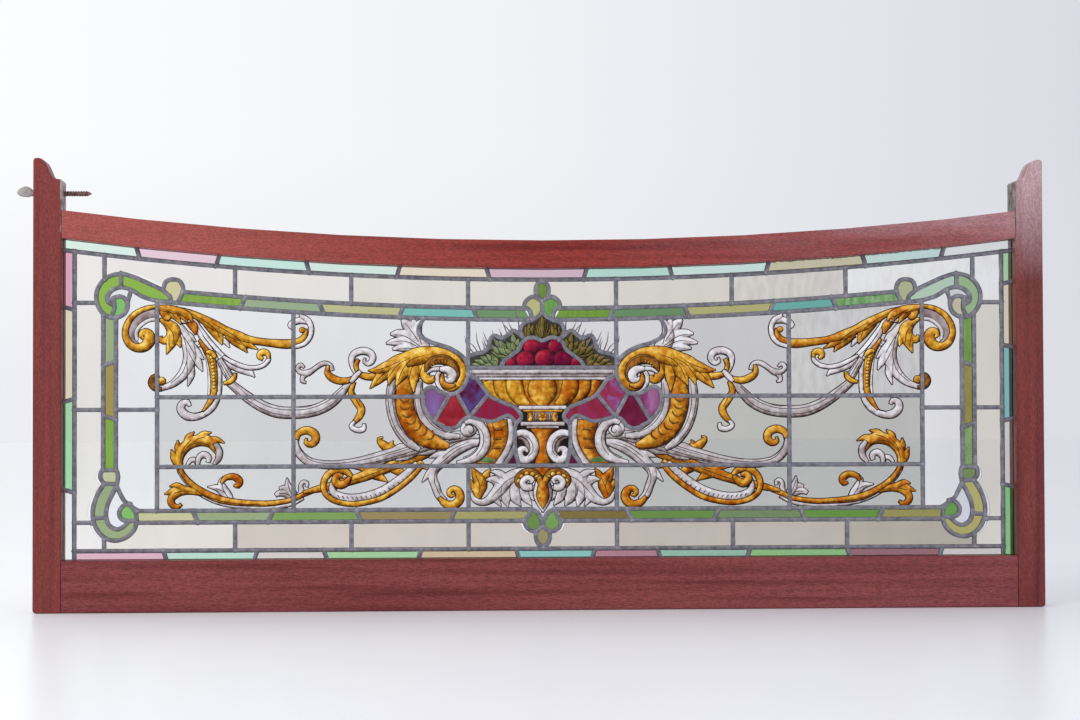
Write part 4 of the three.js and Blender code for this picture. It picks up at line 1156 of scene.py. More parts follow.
leaf("white",
     [(-297, 311.8, 4), (-284, 315.5, 4.5), (-276.4, 324, 5), (-274.8, 335, 5.5), (-279, 344, 6),
      (-286.5, 348.5, 5), (-287, 352, 0.6)],
     [(-279, 343, 7), (-288, 343.8, 7), (-297, 341, 6), (-300.5, 337.5, 4), (-298, 334.5, 2)])
ball("gold", -285.5, 332.5, 3.2, tone=0.2)
leaf("white", [(-383.5, 297.5, 6), (-376.5, 286, 8.5), (-369.5, 274, 9)],
     veins=[[(-385, 297), (-378.4, 284.5), (-372.5, 273.5)], [(-383, 298.5), (-376, 286), (-369.5, 275)],
            [(-381.5, 299.5), (-374, 288), (-367, 276.5)]], tone=0.25)
leaf("white",
     [(-372, 270.5, 8), (-353, 255, 11), (-335, 243, 12), (-318, 236, 13), (-302, 234, 13), (-282, 235, 13),
      (-265, 239, 12.5), (-250, 247.5, 12), (-237.5, 260, 9), (-225, 276, 3)],
     veins=[[(-371, 266), (-352, 250.5), (-334, 239.5), (-317, 233), (-300, 231)],
            [(-368, 271), (-348, 254), (-325, 241.5), (-301, 237.5), (-276, 239.5), (-254, 249), (-237, 264)],
            [(-290, 231.5), (-270, 234.5), (-252, 243), (-240, 254)],
            [(-297, 241), (-281, 241), (-266, 246)]], tone=0.3, other_tone=0.45)
stroke("gold", (-378, 269.3, 3), (-371.5, 271, 5.5), (-366.3, 275.8, 5.5), (-364.6, 281, 3))

# The tied ribbon between the swag and the head, with its loop and its hanging end.
leaf("white",
     [(-283.5, 288, 2), (-287.5, 291.2, 4.5), (-291, 287, 4.5), (-287.8, 282.3, 5), (-279.8, 281.2, 7),
      (-272.5, 285.2, 5), (-266, 290, 5), (-258.8, 292.8, 5), (-252.5, 290, 5.5), (-250, 284.5, 4)],
     [(-279, 282, 6), (-284.5, 276.8, 5), (-285.5, 271.5, 4), (-281.5, 270, 2)], tone=0.3)
stroke("gold", (-254.8, 290, 3), (-255.8, 281.5, 6), (-250, 275.3, 8), (-240, 271.7, 7.5), (-230, 272.8, 6),
       (-222.5, 277.5, 3), tone=0.25)
stroke("white", (-221.5, 280, 4), (-226.8, 291, 5), (-225.8, 302, 7), (-216, 307.3, 8), (-205.5, 305.3, 8),
       (-201.8, 298, 7), (-206.5, 292.3, 5.5), (-211.8, 294.5, 4), (-211, 298.5, 2),
       veins=[[(-223.5, 293, 0.8), (-221.5, 301.5, 1.0), (-214, 304, 0.6)]], tone=0.15)
stroke("gold", (-219.5, 281, 3.5), (-222, 290, 5), (-219, 297, 3.5), tone=0.3)
stroke("gold", (-221, 282.5, 4), (-213, 277.8, 7), (-202.5, 276.8, 8), (-192, 279.3, 8), tone=0.2)
stroke("gold", (-224, 270, 3.5), (-227.7, 258.5, 6.5), (-221.5, 247.5, 8), (-215.5, 238, 8), (-218.5, 229, 7),
       (-225.8, 221, 3.5), veins=[[(-226.5, 262, 0.6), (-222, 250, 1.0), (-216, 240, 0.8)]], tone=0.1)
stroke("white", (-223.5, 223.5, 3), (-227.5, 218, 5), (-221.5, 213.5, 5.5), (-213.5, 214.3, 6),
       (-212.2, 220.5, 3))
stroke("white", (-228, 270.5, 4), (-223, 276.5, 6), (-216.5, 283, 4), tone=0.25)

# The lower corner: a toothed gold crescent on a stem that runs along the sill with its leaves.
film.laid = 0
leaf("gold",
     [(-429.5, 164, 5), (-431, 177, 8), (-428.5, 188, 11), (-419.5, 197.5, 12), (-406, 202, 13),
      (-394, 199.5, 12), (-387, 191.5, 9), (-384.5, 184, 4)],
     [(-430, 172, 8), (-436, 181, 9), (-440, 190.5, 0.6)],
     [(-428, 184, 9), (-432, 193, 8), (-432.5, 201.5, 0.6)],
     [(-420, 196, 9), (-419.5, 205, 8), (-413.5, 211.5, 0.6)],
     [(-409, 201, 10), (-402, 208.5, 8), (-393.5, 211, 0.6)],
     [(-397, 199, 9), (-388, 202.5, 7), (-378, 199, 0.6)],
     veins=[[(-431, 172), (-427, 187), (-417, 196.5), (-404, 199), (-393, 194)],
            [(-430, 184), (-424.5, 194), (-416.5, 203)], [(-418, 197), (-409, 203.5), (-400, 206)]],
     tone=0.15, other_tone=0.35)
stroke("white", (-388.5, 198, 5), (-383.5, 189, 7), (-385, 179.5, 6.5), (-390, 173.5, 3), tone=0.5)
stroke("white", (-421.5, 172.5, 2.5), (-417, 178.3, 5), (-411.3, 178.5, 5), (-409.5, 173.5, 4), tone=0.1)
stroke("white", (-409, 173, 4), (-407.8, 180.5, 6), (-402, 185, 7), (-396, 181.5, 6.5), (-396.8, 176, 4),
       tone=0.2)
leaf("white", [(-293, 131, 6), (-298.5, 140, 10), (-302.5, 148, 7), (-303.5, 156.5, 0.6)],
     [(-296, 132, 6), (-305, 138.5, 8), (-312, 139, 7), (-317, 136.5, 4)],
     [(-299, 139, 5), (-306, 145, 6), (-312, 144, 4)],
     veins=[[(-296, 134), (-301, 144), (-303, 152)], [(-297, 133.5), (-305, 138.5), (-313, 138.5)]], tone=0.3)
stroke("white", (-292.5, 131.5, 7), (-287, 139.5, 6.5), (-287.5, 147.5, 4.5), (-284.3, 152, 4),
       (-280, 150.8, 4), (-280.3, 146.5, 3), tone=0.3)
leaf("white", [(-369, 128, 6), (-375.5, 138, 11), (-384.5, 145, 8), (-397, 146.8, 0.6)],
     [(-370, 129, 7), (-376, 140, 9), (-381.5, 150.5, 7), (-378.5, 158, 2)],
     veins=[[(-371, 131), (-378, 140.5), (-388, 145)], [(-374, 135), (-379, 144), (-381, 152)]], tone=0.1)
stroke("gold", (-381, 151.5, 3), (-375.8, 157.4, 5.5), (-366.5, 158.6, 7), (-360, 153.8, 8),
       (-361.8, 147.8, 6), (-366, 148.5, 2), tone=0.5)
stroke("white", (-430, 163.5, 3), (-423.5, 154, 3.5), (-412, 142.8, 4), (-398, 134, 4.5), (-382, 127.8, 5),
       (-366, 124.5, 5), (-345, 122.8, 5), (-322, 122.6, 5), (-300, 126, 5), (-285, 133, 4), tone=0.1)
leaf("gold",
     [(-429.5, 168, 4), (-424, 158.5, 5), (-413, 147.5, 6), (-399, 138.8, 7), (-384, 132.3, 7.5),
      (-367, 128.8, 7), (-348, 127.2, 6), (-325, 126.8, 5.5), (-300, 130.5, 5), (-286, 136.5, 5),
      (-270, 142.5, 4)], [(-404, 139, 5), (-419, 142.3, 8), (-432.5, 142.5, 12), (-447.5, 138.5, 0.6)],
     [(-430, 142, 10), (-439, 134.5, 8), (-440, 127.5, 7), (-434, 122.8, 5.5), (-428.5, 126, 3)],
     [(-425, 144, 7), (-434, 148.5, 6), (-441.5, 147.5, 0.6)],
     veins=[[(-414, 144.5), (-398, 135.8), (-380, 129.5), (-360, 126.5), (-335, 125.3)],
            [(-410, 140.5), (-424, 142), (-437, 139.5)]], tone=0.3, other_tone=0.4)

# The inner stems: a grey stem from a gold curl, the branch under it and the beaded crescent.
leaf("gold",
     [(-284, 139.5, 3), (-268, 143.5, 7), (-250, 147.5, 9), (-225, 154.5, 10), (-205, 161.5, 12),
      (-185, 169, 12), (-160, 178.5, 14), (-135, 188.5, 13), (-108, 197.5, 9), (-88, 202, 3)],
     [(-210, 163, 9), (-196, 159, 10), (-185, 152, 0.6)],
     [(-184, 171, 10), (-172, 165, 10), (-160.5, 156.5, 0.6)],
     [(-160, 179, 10), (-148, 173.5, 9), (-137, 166.5, 0.6)],
     [(-205, 163, 8), (-215, 168.5, 7), (-226, 168.5, 0.6)],
     veins=[[(-262, 145.5), (-232, 152), (-205, 160.5), (-178, 171.5), (-150, 182)],
            [(-205, 165), (-190, 168.5), (-170, 176.5)]], tone=0.25, other_tone=0.4)
leaf("gold", [(-170, 184, 5), (-182, 190.5, 10), (-191.5, 197.5, 8), (-194.5, 203, 4), (-190.5, 204.5, 1)],
     [(-176, 188, 8), (-180, 196, 6), (-178, 200, 0.6)], tone=0.2)
stroke("white", (-250.5, 153, 2), (-250.5, 143, 6.5), (-244, 136, 8.5), (-230, 132.3, 9.5),
       (-212.5, 133.8, 9.5), (-193, 140, 9.5), (-176, 150, 9.5), (-160, 163, 8.5), (-150, 174, 5), tone=0.2)
# Slanting ticks along the crescent, like the shadows between its beads.
for step in range(17):
    t = step / 16
    bead = (-243 + 88 * t, 134.5 - 4.5 * np.sin(3.14 * t) - 3 * t + 30 * t ** 2)
    stroke("trace", (bead[0] - 1.4, bead[1] + 2.0, 0.8), (bead[0] + 0.3, bead[1] + 0.6, 1.2),
           (bead[0] + 1.2, bead[1] - 1.6, 0.6), outline=0)
stroke("gold", (-228, 158.5, 5), (-234, 164.3, 7), (-243.5, 165.8, 7), (-253, 162.5, 7), (-259, 155, 6.5),
       (-260.8, 146, 6), (-257.3, 136.8, 5.5), (-247, 129.5, 5.5), (-230, 125.8, 5.5), (-212.5, 127, 5.5),
       (-191, 132.8, 5.5), (-172, 144.3, 5.5), (-155, 158.3, 5.5), (-143, 172, 4), tone=0.15, other_tone=0.4)
stroke("gold", (-229, 157.5, 4), (-234, 151, 8), (-241, 148.3, 9), (-246.5, 153.5, 9), (-243.5, 159.5, 7),
       (-238, 158.5, 3), tone=0.3)
stroke("gold", (-293, 200, 5), (-290.5, 209, 7), (-281, 213.3, 8.5), (-271.5, 209.5, 9), (-269.8, 201.5, 8.5),
       (-275.5, 196.5, 7), (-281, 199, 5), (-280.5, 203.5, 2), tone=0.25)
leaf("white",
     [(-293, 202, 4), (-292, 191, 8), (-284, 180.5, 9), (-272, 174.3, 9), (-252.5, 172, 9), (-232.5, 173, 10),
      (-212.5, 176, 12), (-190, 181.8, 13), (-165, 188.2, 15), (-138, 196, 16), (-112, 203, 14),
      (-90, 206.5, 10), (-72, 203.5, 2)], [(-186, 180, 9), (-196, 174.5, 7), (-206, 171.8, 0.6)],
     [(-150, 190, 12), (-162, 182, 9), (-175, 177.3, 0.6)],
     [(-122, 197, 13), (-136, 188.5, 10), (-151, 184.5, 0.6)],
     [(-100, 200, 11), (-113, 192.5, 9), (-126, 187.5, 0.6)],
     [(-180, 186, 8), (-170, 193.5, 6), (-160, 195.5, 0.6)],
     veins=[[(-289, 193), (-279, 180), (-262, 174.5), (-238, 174.5), (-212, 178.5), (-184, 186),
             (-150, 196.5), (-118, 206)],
            [(-230, 171.5), (-205, 174.5), (-180, 180.5), (-152, 189), (-125, 198)],
            [(-190, 182), (-160, 190.5), (-128, 201.5), (-104, 207)],
            [(-150, 190.5), (-140, 196), (-128, 199)], [(-120, 197), (-108, 201.5), (-94, 204)]], tone=0.35,
     other_tone=0.5)

# The head: an acanthus scroll that rolls over a white spiral, a white plume and the C-band.
leaf("white",
     [(-178.5, 274, 8), (-181, 254, 10), (-179.3, 234, 10), (-172, 214.5, 10), (-160, 199, 9.5),
      (-147, 190, 5)],
     veins=[[(-181, 272), (-184, 253), (-181.5, 233), (-174, 213), (-161, 197)],
            [(-176.5, 272), (-178.5, 253), (-176.5, 234), (-169.5, 216), (-157, 201)]], tone=0.4)
leaf("white",
     [(-147.5, 274, 9), (-148.5, 256, 11), (-147.5, 240, 11), (-141.5, 225.5, 11.5), (-130, 213.5, 11),
      (-115, 206.5, 9), (-99, 205.5, 5)],
     veins=[[(-150, 270), (-152, 255), (-150.8, 239), (-144.5, 223), (-132, 210.5), (-116, 203.5)],
            [(-144.5, 270), (-145.8, 255), (-144.5, 241), (-138.5, 227.5), (-128, 216.5), (-114, 210)]],
     tone=0.4)
stroke("gold", (-162, 275, 16), (-164.3, 254, 20.5), (-162.5, 235, 21), (-154.5, 217.5, 22),
       (-141.5, 205, 21), (-126, 197.5, 15), (-112, 194, 6), tone=0.5, other_tone=0.3)
# Overlapping scales down the C-band, each turned with it.
for x, z, turn in ((-164.3, 248, 0.0), (-163.8, 239, -0.08), (-161.8, 230, -0.25), (-157.8, 221.5, -0.45),
                   (-152, 214, -0.65), (-144.8, 207.8, -0.85), (-136.5, 203, -1.05)):
    a = np.linspace(np.pi + 0.35, 2 * np.pi - 0.35, 5) - turn
    scale = [(x + 6.6 * np.cos(b), z + 6.6 * np.sin(b) + 5.5, 0.6 + 1.6 * np.sin(b + turn) ** 2) for b in a]
    stroke("umber", *scale, outline=0.2)
leaf("white", [(-139, 306, 16), (-147, 316, 19), (-151, 327, 15), (-148.5, 337, 10), (-142, 346, 0.6)],
     [(-151, 328, 12), (-158, 335, 13), (-163.5, 340.5, 10), (-167.5, 344, 2)],
     [(-149, 322, 13), (-162, 325.5, 13), (-172.5, 327.5, 10), (-180.5, 327.5, 2)],
     [(-147, 317, 13), (-164, 318.5, 12), (-177, 318, 8), (-185.5, 316.5, 2)],
     [(-144, 311, 11), (-161, 311.5, 10), (-171, 311, 7), (-178, 309.5, 2)],
     [(-150, 330, 9), (-152.5, 338, 9), (-153.5, 342.5, 6), (-154.5, 345, 1.5)],
     veins=[[(-182, 317.5), (-164, 319), (-148, 312)], [(-178, 327), (-163, 324.5), (-146, 313)],
            [(-164, 341), (-156, 331), (-147, 318)], [(-172, 310), (-158, 310.5), (-145, 308.5)],
            [(-144, 341), (-147.5, 329), (-144, 315)]], tone=0.1)
stroke("white", (-120.5, 285, 4), (-125.5, 276, 5), (-123.5, 266.5, 5), (-115, 260, 5), (-103, 258, 3),
       tone=0.1)
leaf("gold",
     [(-164, 296, 18), (-146, 301, 21), (-128, 304, 16), (-114, 302.5, 11), (-102.5, 296, 9.5),
      (-95.5, 285, 9.5), (-96.2, 273.5, 9.5), (-104, 264.8, 9), (-113.5, 264, 8), (-118.8, 269.5, 5.5),
      (-117.5, 275.5, 2)],
     [(-158, 298, 18), (-174, 292, 18), (-187, 282.5, 15), (-196, 273, 10), (-205, 263, 0.6)],
     [(-168, 293, 14), (-184, 288.5, 13), (-196, 284.5, 9), (-207, 284, 0.6)],
     [(-160, 295, 15), (-173, 286, 14), (-180, 277, 9), (-183, 267, 0.6)],
     [(-152, 295, 15), (-164, 284, 14), (-169.5, 275.5, 10), (-174.5, 266, 0.6)],
     [(-147, 296, 16), (-152.5, 282, 14), (-153.5, 271, 9), (-153.5, 258.5, 0.6)],
     [(-139, 294, 14), (-140.5, 281, 12), (-136.5, 272.8, 9), (-131.3, 273, 7), (-130.3, 277.5, 3)],
     veins=[[(-141, 302), (-156, 297), (-166, 286), (-171.5, 273)],
            [(-157, 299), (-171, 292), (-180, 281), (-186, 272)], [(-148, 297), (-156, 286), (-159, 274)],
            [(-142, 293), (-146, 281), (-147.5, 270)], [(-170, 295), (-186, 288), (-198, 284.5)],
            [(-175, 290), (-188, 281), (-198, 271)]], tone=0.05, other_tone=0.2)
leaf("umber",
     [(-138, 283, 4), (-136, 291, 7), (-127, 296.5, 10), (-115, 296, 11), (-105.5, 289, 9.5),
      (-101.8, 279.5, 6), (-104.5, 271, 3)],
     veins=[[(-137, 290), (-131, 298.5), (-119, 300.5), (-107, 295.5), (-100, 285), (-100, 274)]], tone=-0.2)
# Fine ribs over the top of the spiral.
for step in range(9):
    b = 2.6 - 0.26 * step
    stroke("gold", (-119.5 + 13.5 * np.cos(b), 283 + 10.5 * np.sin(b), 0.7),
           (-119.5 + 16 * np.cos(b), 283 + 13.5 * np.sin(b), 1.1), outline=0.2, tone=0.3)
stroke("white", (-137.5, 280.8, 2), (-131, 285, 4), (-122, 286, 5), tone=0.2)
leaf("white",
     [(-122, 285.3, 5), (-113.5, 284.8, 9), (-107.8, 279.5, 11), (-109.2, 272.8, 9), (-114, 272.3, 5),
      (-115.8, 276, 2)], tone=0.05)
stroke("gold", (-119, 280, 2.5), (-119.3, 270.5, 6), (-113, 265.2, 6.5), (-104.5, 266.5, 3), tone=0.35)

# The console: a white spiral over a ribbed gold shaft, and the leaf that drops below it.
area("gold", [(-67.5, 223.5), (-62, 208), (-62.5, 194), (-70, 182.5), (-84, 174)],
     [(-41, 225), (-39.5, 212), (-41.5, 199), (-47, 186), (-56, 173)], tone=0.5)
area("white", [(-42, 226.5), (-40.5, 212), (-42.5, 198), (-48.5, 185), (-57, 173)],
     [(-36, 225.5), (-34.5, 212), (-36, 198), (-40.5, 186), (-48, 173)], tone=0.3)
# Three dark rings round the shaft.
for z in (213.5, 202.5, 191.5):
    slip = (213 - z) * 0.09
    stroke("umber", (-58 - slip, z, 2.6), (-48 - slip, z + 0.5, 2.6), outline=0.4)
stroke("umber", (-60.5, 222, 1), (-57.5, 208, 1.3), (-59, 195, 1.3), (-66, 183, 1.0), outline=0.1)
stroke("green", (-76, 176.5, 3), (-66, 177.5, 7), (-57, 176, 3), outline=0)
leaf("white",
     [(-73, 199, 6), (-88, 196, 11), (-104, 188.5, 13), (-118, 178, 13), (-128.5, 168, 12),
      (-131.5, 158, 9.5), (-127.5, 146, 9), (-124, 136, 8.5), (-117.5, 128.5, 8)],
     [(-125, 170, 9), (-134.5, 162, 8), (-143.5, 151.5, 0.6)],
     [(-112, 183, 10), (-124, 183.5, 8), (-135, 180.5, 0.6)],
     veins=[[(-80, 197), (-98, 191.5), (-114, 180), (-126, 167), (-129, 152), (-122, 135)],
            [(-88, 199), (-106, 191), (-120, 180)], [(-116, 176), (-126, 164)]], tone=0.3)
stroke("gold", (-123, 133, 4), (-117.5, 126.5, 7.5), (-107.5, 123.8, 9), (-99.5, 129.3, 9.5),
       (-99.5, 138.5, 9), (-106, 143, 7), (-111.5, 139.5, 5.5), (-109.5, 134.5, 4), (-105, 136, 1.5),
       tone=0.15, other_tone=0.5)
ball("white", -88.3, 214, 9.3, tone=0.15)
leaf("white",
     [(-92, 221, 5), (-84.5, 223.5, 7), (-75, 218.5, 10), (-69, 207.5, 11.5), (-69, 194.5, 12),
      (-75.5, 183.5, 11), (-87, 177, 8), (-102, 174.3, 3)],
     veins=[[(-88, 219.5), (-80.5, 217.5), (-76, 209.5), (-76, 197.5), (-83, 186.5), (-95, 180)],
            [(-80, 220), (-71.5, 209), (-71.5, 194.5), (-79, 182.5)]], tone=0.2)
stroke("trace", (-94.5, 214, 0.6), (-90, 219.3, 1.4), (-84, 217.8, 1.6), (-82, 212, 1.4), (-86, 208.8, 1.1),
       (-88.5, 212, 0.5), outline=0)

# The urn: two white rims, a lobed gold bowl, its neck and frieze, and a gold pedestal between
# two white volutes on a black ground.
film.laid = 0
area("black", [(-34, 242), (-26, 232), (-27, 224), (-32, 216), (-32, 200), (-31, 185), (-28, 173)],
     [(34, 242), (26, 232), (27, 224), (32, 216), (32, 200), (31, 185), (28, 173)], single=True, outline=0)
area("gold", [(-73, 273), (-66, 262), (-52, 250.5), (-33, 242)],
     [(73, 273), (66, 262), (52, 250.5), (33, 242)], tone=0.45, single=True)
for spine in ([(-65, 271.5, 13), (-60.5, 262, 13), (-46, 250.5, 13), (-29, 243.5, 6)],
              [(-51, 272, 14), (-48.5, 261, 16), (-37.5, 250, 14), (-24, 243.5, 6)],
              [(-33.5, 272, 18), (-32.5, 261, 20), (-26.5, 250, 15), (-16.5, 243, 6)]):
    stroke("gold", *spine, tone=0.1, other_tone=0.5, outline=0.9)
stroke("gold", (0, 272.5, 27), (0, 266, 33), (0, 257, 33), (0, 248.5, 25), (0, 242, 10), single=True,
       tone=0.2, outline=1.1)
# The flat bands of the rims and the neck: half-widths, then heights, at foot and head.
for kind, half_low, half_high, low, high, tone in (
        ("white", 84, 84, 279.6, 285, 0.35), ("white", 80, 82, 275.9, 279, 0.7),
        ("white", 75, 76, 272.6, 275.4, 0.2), ("white", 29, 28, 237.2, 241.6, 0.2),
        ("gold", 23, 23, 234.4, 236.6, 0.2), ("white", 26, 26, 217.8, 222.4, 0.3),
        ("white", 19, 19, 215, 217.2, 0.5), ("white", 18, 18, 223.4, 233.8, 0.9)):
    area(kind, [(-half_high, high), (half_high, high)], [(-half_low, low), (half_low, low)], single=True,
         fair=False, tone=tone, outline=0.7)
stroke("gold", (-16, 233.5, 5), (-13.5, 228.5, 4.5), (-16, 223.8, 5), tone=0.1, outline=0.7)
for x in (-9, -6):
    stroke("trace", (x, 233, 0.7), (x - 1, 228.5, 0.9), (x, 224, 0.7), outline=0)
# A flower of five petals in the middle of the neck.
for step in range(5):
    angle = 0.3 + step * 1.2566
    ball("gold", 3.2 * np.cos(angle), 228.5 + 3.2 * np.sin(angle), 2.2, single=True, outline=0.6, tone=0.2)
ball("gold", 0, 228.5, 1.7, single=True, outline=0.5, tone=0.7)
area("gold", [(-14.5, 214.5), (-9, 207), (-6.5, 197), (-7, 184), (-9, 172.5)],
     [(14.5, 214.5), (9, 207), (6.5, 197), (7, 184), (9, 172.5)], tone=0.6, single=True)
stroke("white", (-29.5, 204.5, 3), (-22.5, 203, 6), (-17.5, 197, 7), (-15.5, 190, 6), (-17, 185, 2), tone=0.9)
leaf("white",
     [(-31, 208.5, 7), (-22, 208.8, 9), (-13, 202.3, 10), (-9.5, 191, 10), (-13.5, 180.8, 9), (-21, 176.8, 9),
      (-27.3, 181.3, 9), (-26.3, 189, 8), (-20.5, 190.3, 5), (-18.5, 186.8, 2)],
     veins=[[(-27, 207), (-18, 204.5), (-12.5, 197), (-12, 187.5), (-17.5, 181.5)]], tone=0.1)

# The cartouche under the urn: white acanthus, a gold flame at each end, and two beaded
# crescents that meet over a gold drop.
leaf("gold", [(-78, 131, 7), (-76, 141, 13), (-74.5, 151, 15), (-79.5, 159.5, 10), (-84, 168.5, 0.6)],
     [(-75, 146, 10), (-70, 154, 9), (-66.5, 161, 7), (-62.5, 166.5, 0.6)],
     [(-79, 141, 9), (-83.5, 147.5, 6), (-85.5, 153.5, 0.6)],
     [(-74, 140, 8), (-69.5, 145.5, 6), (-67, 150.5, 0.6)],
     veins=[[(-78, 134), (-75, 146), (-80, 160)], [(-74, 146), (-69.5, 157)]], tone=0.25, other_tone=0.6)
leaf("white",
     [(-85, 139, 2), (-81.5, 130.5, 6), (-73, 126.8, 7), (-64, 130, 10), (-55, 138, 14), (-47, 148, 16),
      (-37, 157.5, 14), (-25, 163, 9), (-9, 164.5, 5)], [(-50, 147, 11), (-58, 153.5, 10), (-68, 153.5, 0.6)],
     [(-44, 152, 11), (-52, 161, 9), (-62.5, 164, 0.6)], [(-52, 142, 12), (-55.5, 132, 9), (-50, 122.5, 0.6)],
     [(-42, 152, 16), (-46, 139, 16), (-44, 130, 10), (-41.5, 121.5, 0.6)],
     [(-32, 154, 18), (-34, 140, 17), (-31.5, 130.5, 11), (-26.5, 122.5, 0.6)],
     [(-20, 150, 14), (-22, 139, 14), (-19, 131, 10), (-13.5, 123.5, 0.6)],
     [(-11, 146, 11), (-12, 137, 10), (-10, 131.5, 6), (-7, 128.5, 0.6)],
     veins=[[(-62, 132), (-52, 143), (-42, 153), (-28, 160)], [(-38, 152), (-39.5, 140), (-38, 128)],
            [(-27, 152), (-28, 140), (-24.5, 129)], [(-16.5, 150), (-17, 140), (-14.5, 131)],
            [(-63, 154), (-52, 149)], [(-59, 162), (-47, 155)], [(-48, 148), (-50, 138), (-48.5, 128)]],
     tone=0.25)
stroke("umber", (-27, 144.5, 3), (-30, 151.5, 7), (-26.5, 158.3, 9), (-18, 162, 10), (-8.5, 159.5, 10),
       (-3.5, 152.5, 8), (-2, 144, 3))
# Gold beads round each crescent.
for x, z in ((-28.4, 152), (-25.2, 157.6), (-19.2, 160.8), (-12.3, 160.2), (-6.8, 156.4), (-4, 150.5)):
    ball("gold", x, z, 2.5, outline=0.6, tone=0.05)
stroke("white", (-13, 144.5, 7), (-21, 144.5, 8), (-24, 151, 7), (-18.5, 155.8, 6.5), (-12.5, 153.5, 5),
       (-14.5, 149.5, 2), tone=0.05)
stroke("white", (0, 151, 16), (0, 138, 22), (0, 127, 16), (0, 115.5, 1), single=True, tone=0.1, outline=1.3)
leaf("gold", [(0, 152, 8), (0, 139, 14), (0, 129.5, 12), (0, 119.5, 0.6)],
     [(-5, 157, 6), (-2, 149, 7), (0, 141, 6)], [(5, 157, 6), (2, 149, 7), (0, 141, 6)], single=True,
     tone=0.45)
area("gold", [(-9, 167.5), (0, 158.5)], [(9, 167.5), (0.2, 158.5)], single=True, fair=False, tone=0.7)

# Foliage on a black ground, grass beside it, and the heap of fruit.
film.laid = 0
fan("leaf", (-49, 287),
    [(-86, 291.5), (-82, 296.5), (-75, 301), (-67.5, 303.5), (-61, 303.5), (-70, 290.5), (-62, 295.5)], 7.0,
    other_tone=1.0)
fan("leaf", (-36, 297),
    [(-52, 300), (-61, 306), (-62, 313), (-58.5, 322), (-52, 320), (-48, 314), (-44, 306), (-53, 312)], 7.6,
    other_tone=1.0)
fan("leaf", (-32, 302), [(-45, 309), (-43, 318.5), (-35.5, 329), (-28.5, 322), (-26.5, 314), (-36, 318)], 7.0,
    other_tone=1.0)
fan("leaf", (-16, 318), [(-24.5, 330), (-20.5, 337), (-15.5, 341.5), (-10.5, 339.5), (-16, 334)], 5.6,
    spread=0.2, tone=1.0)
fan("leaf", (0, 318), [(-9.5, 333), (-7, 340), (-3.5, 346.5), (9.5, 333), (7, 340), (3.5, 346.5), (0, 352)],
    5.6, spread=0.2, tone=1.0, single=True)
# Fifteen blades of grass in thin washes beside the foliage, no two alike.
for k, t in enumerate(np.linspace(0, 1, 15)):
    root = (-86 + 58 * t, 303 + 27 * t ** 1.5 + 2 * np.sin(9 * t))
    tip = (root[0] - 7 + 4 * np.sin(5.1 * k), root[1] + 16 + 7 * np.sin(2.3 * k + 1))
    middle = ((root[0] + tip[0]) / 2 + 1.5 * np.sin(3.7 * k), (root[1] + tip[1]) / 2)
    stroke("wash", (*root, 1.6), (*middle, 1.3), (*tip, 0.3), outline=0)
# The fruit, the hindmost first.
for x, z, radius, tone in ((1.1, 312, 7.5, 0.95), (-30, 294, 8, 1.0), (13.5, 302, 6, 1.0), (-9, 303, 5, 0.9),
                           (-38, 292.9, 5.5, 0.0), (40.9, 292.9, 6.8, 0.55), (-13.1, 311.9, 9.2, 0.0),
                           (16, 311.9, 8.8, 0.3), (24.3, 296.4, 10.3, 0.7), (-20.8, 296.4, 10.3, 0.05),
                           (2.3, 297.6, 11, 0.25)):
    ball("fruit", x, z, radius, single=True, tone=tone, outline=0.8)


PAINT_VALUES = ("lit", "tone", "edge")


def fired_paint(name, shades, patch, patch_share, unevenness=0.55, patch_mm=12):
    """Fired paint, glossy where the kiln has flowed it. Its tone follows the form's own shading, from
    the shaded side to the lit one, with brush-flooded patches of the second colour patch_mm across."""
    made, tree, shader, place = finish(name, {"Roughness": 0.3, "IOR": 1.5, "Specular IOR Level": 0.06})
    lit, tone, edge = [
        node(tree, "ShaderNodeAttribute", attribute_name=a).outputs["Fac"] for a in PAINT_VALUES]
    mottle = node(tree, "ShaderNodeTexNoise", {"Vector": place, "Scale": 1000 / 5, "Detail": 4.0})
    uneven = node(tree, "ShaderNodeMapRange", {
        "Value": mottle, "From Min": 0.3, "From Max": 0.7, "To Min": -unevenness, "To Max": unevenness})
    rolled = node(tree, "ShaderNodeMath", {0: lit, 1: 0.8, 2: uneven}, operation="MULTIPLY_ADD")
    rim = node(tree, "ShaderNodeMapRange", {"Value": edge, "From Min": 0.6, "From Max": 1.0, "To Max": -0.5})
    turned = node(tree, "ShaderNodeMath", {0: rolled, 1: rim}, operation="ADD")
    share = node(tree, "ShaderNodeMapRange", {"Value": turned, "From Min": -1.2, "From Max": 0.9})
    shaded = node(tree, "ShaderNodeValToRGB", {"Fac": share}, stops=shades)
    flood = node(tree, "ShaderNodeTexNoise", {"Vector": place, "Scale": 1000 / patch_mm, "Detail": 2.0})
    flooded = node(tree, "ShaderNodeMapRange", {
        "Value": flood, "From Min": 0.42, "From Max": 0.62, "To Max": patch_share})
    amount = node(tree, "ShaderNodeMath", {0: flooded, 1: tone}, operation="ADD", use_clamp=True)
    colour = node(tree, "ShaderNodeMix", {"Factor": amount, 6: shaded, 7: srgb(patch)}, data_type="RGBA",
                  blend_type="MULTIPLY")
    wire(tree, shader, {"Base Color": colour})
    return made


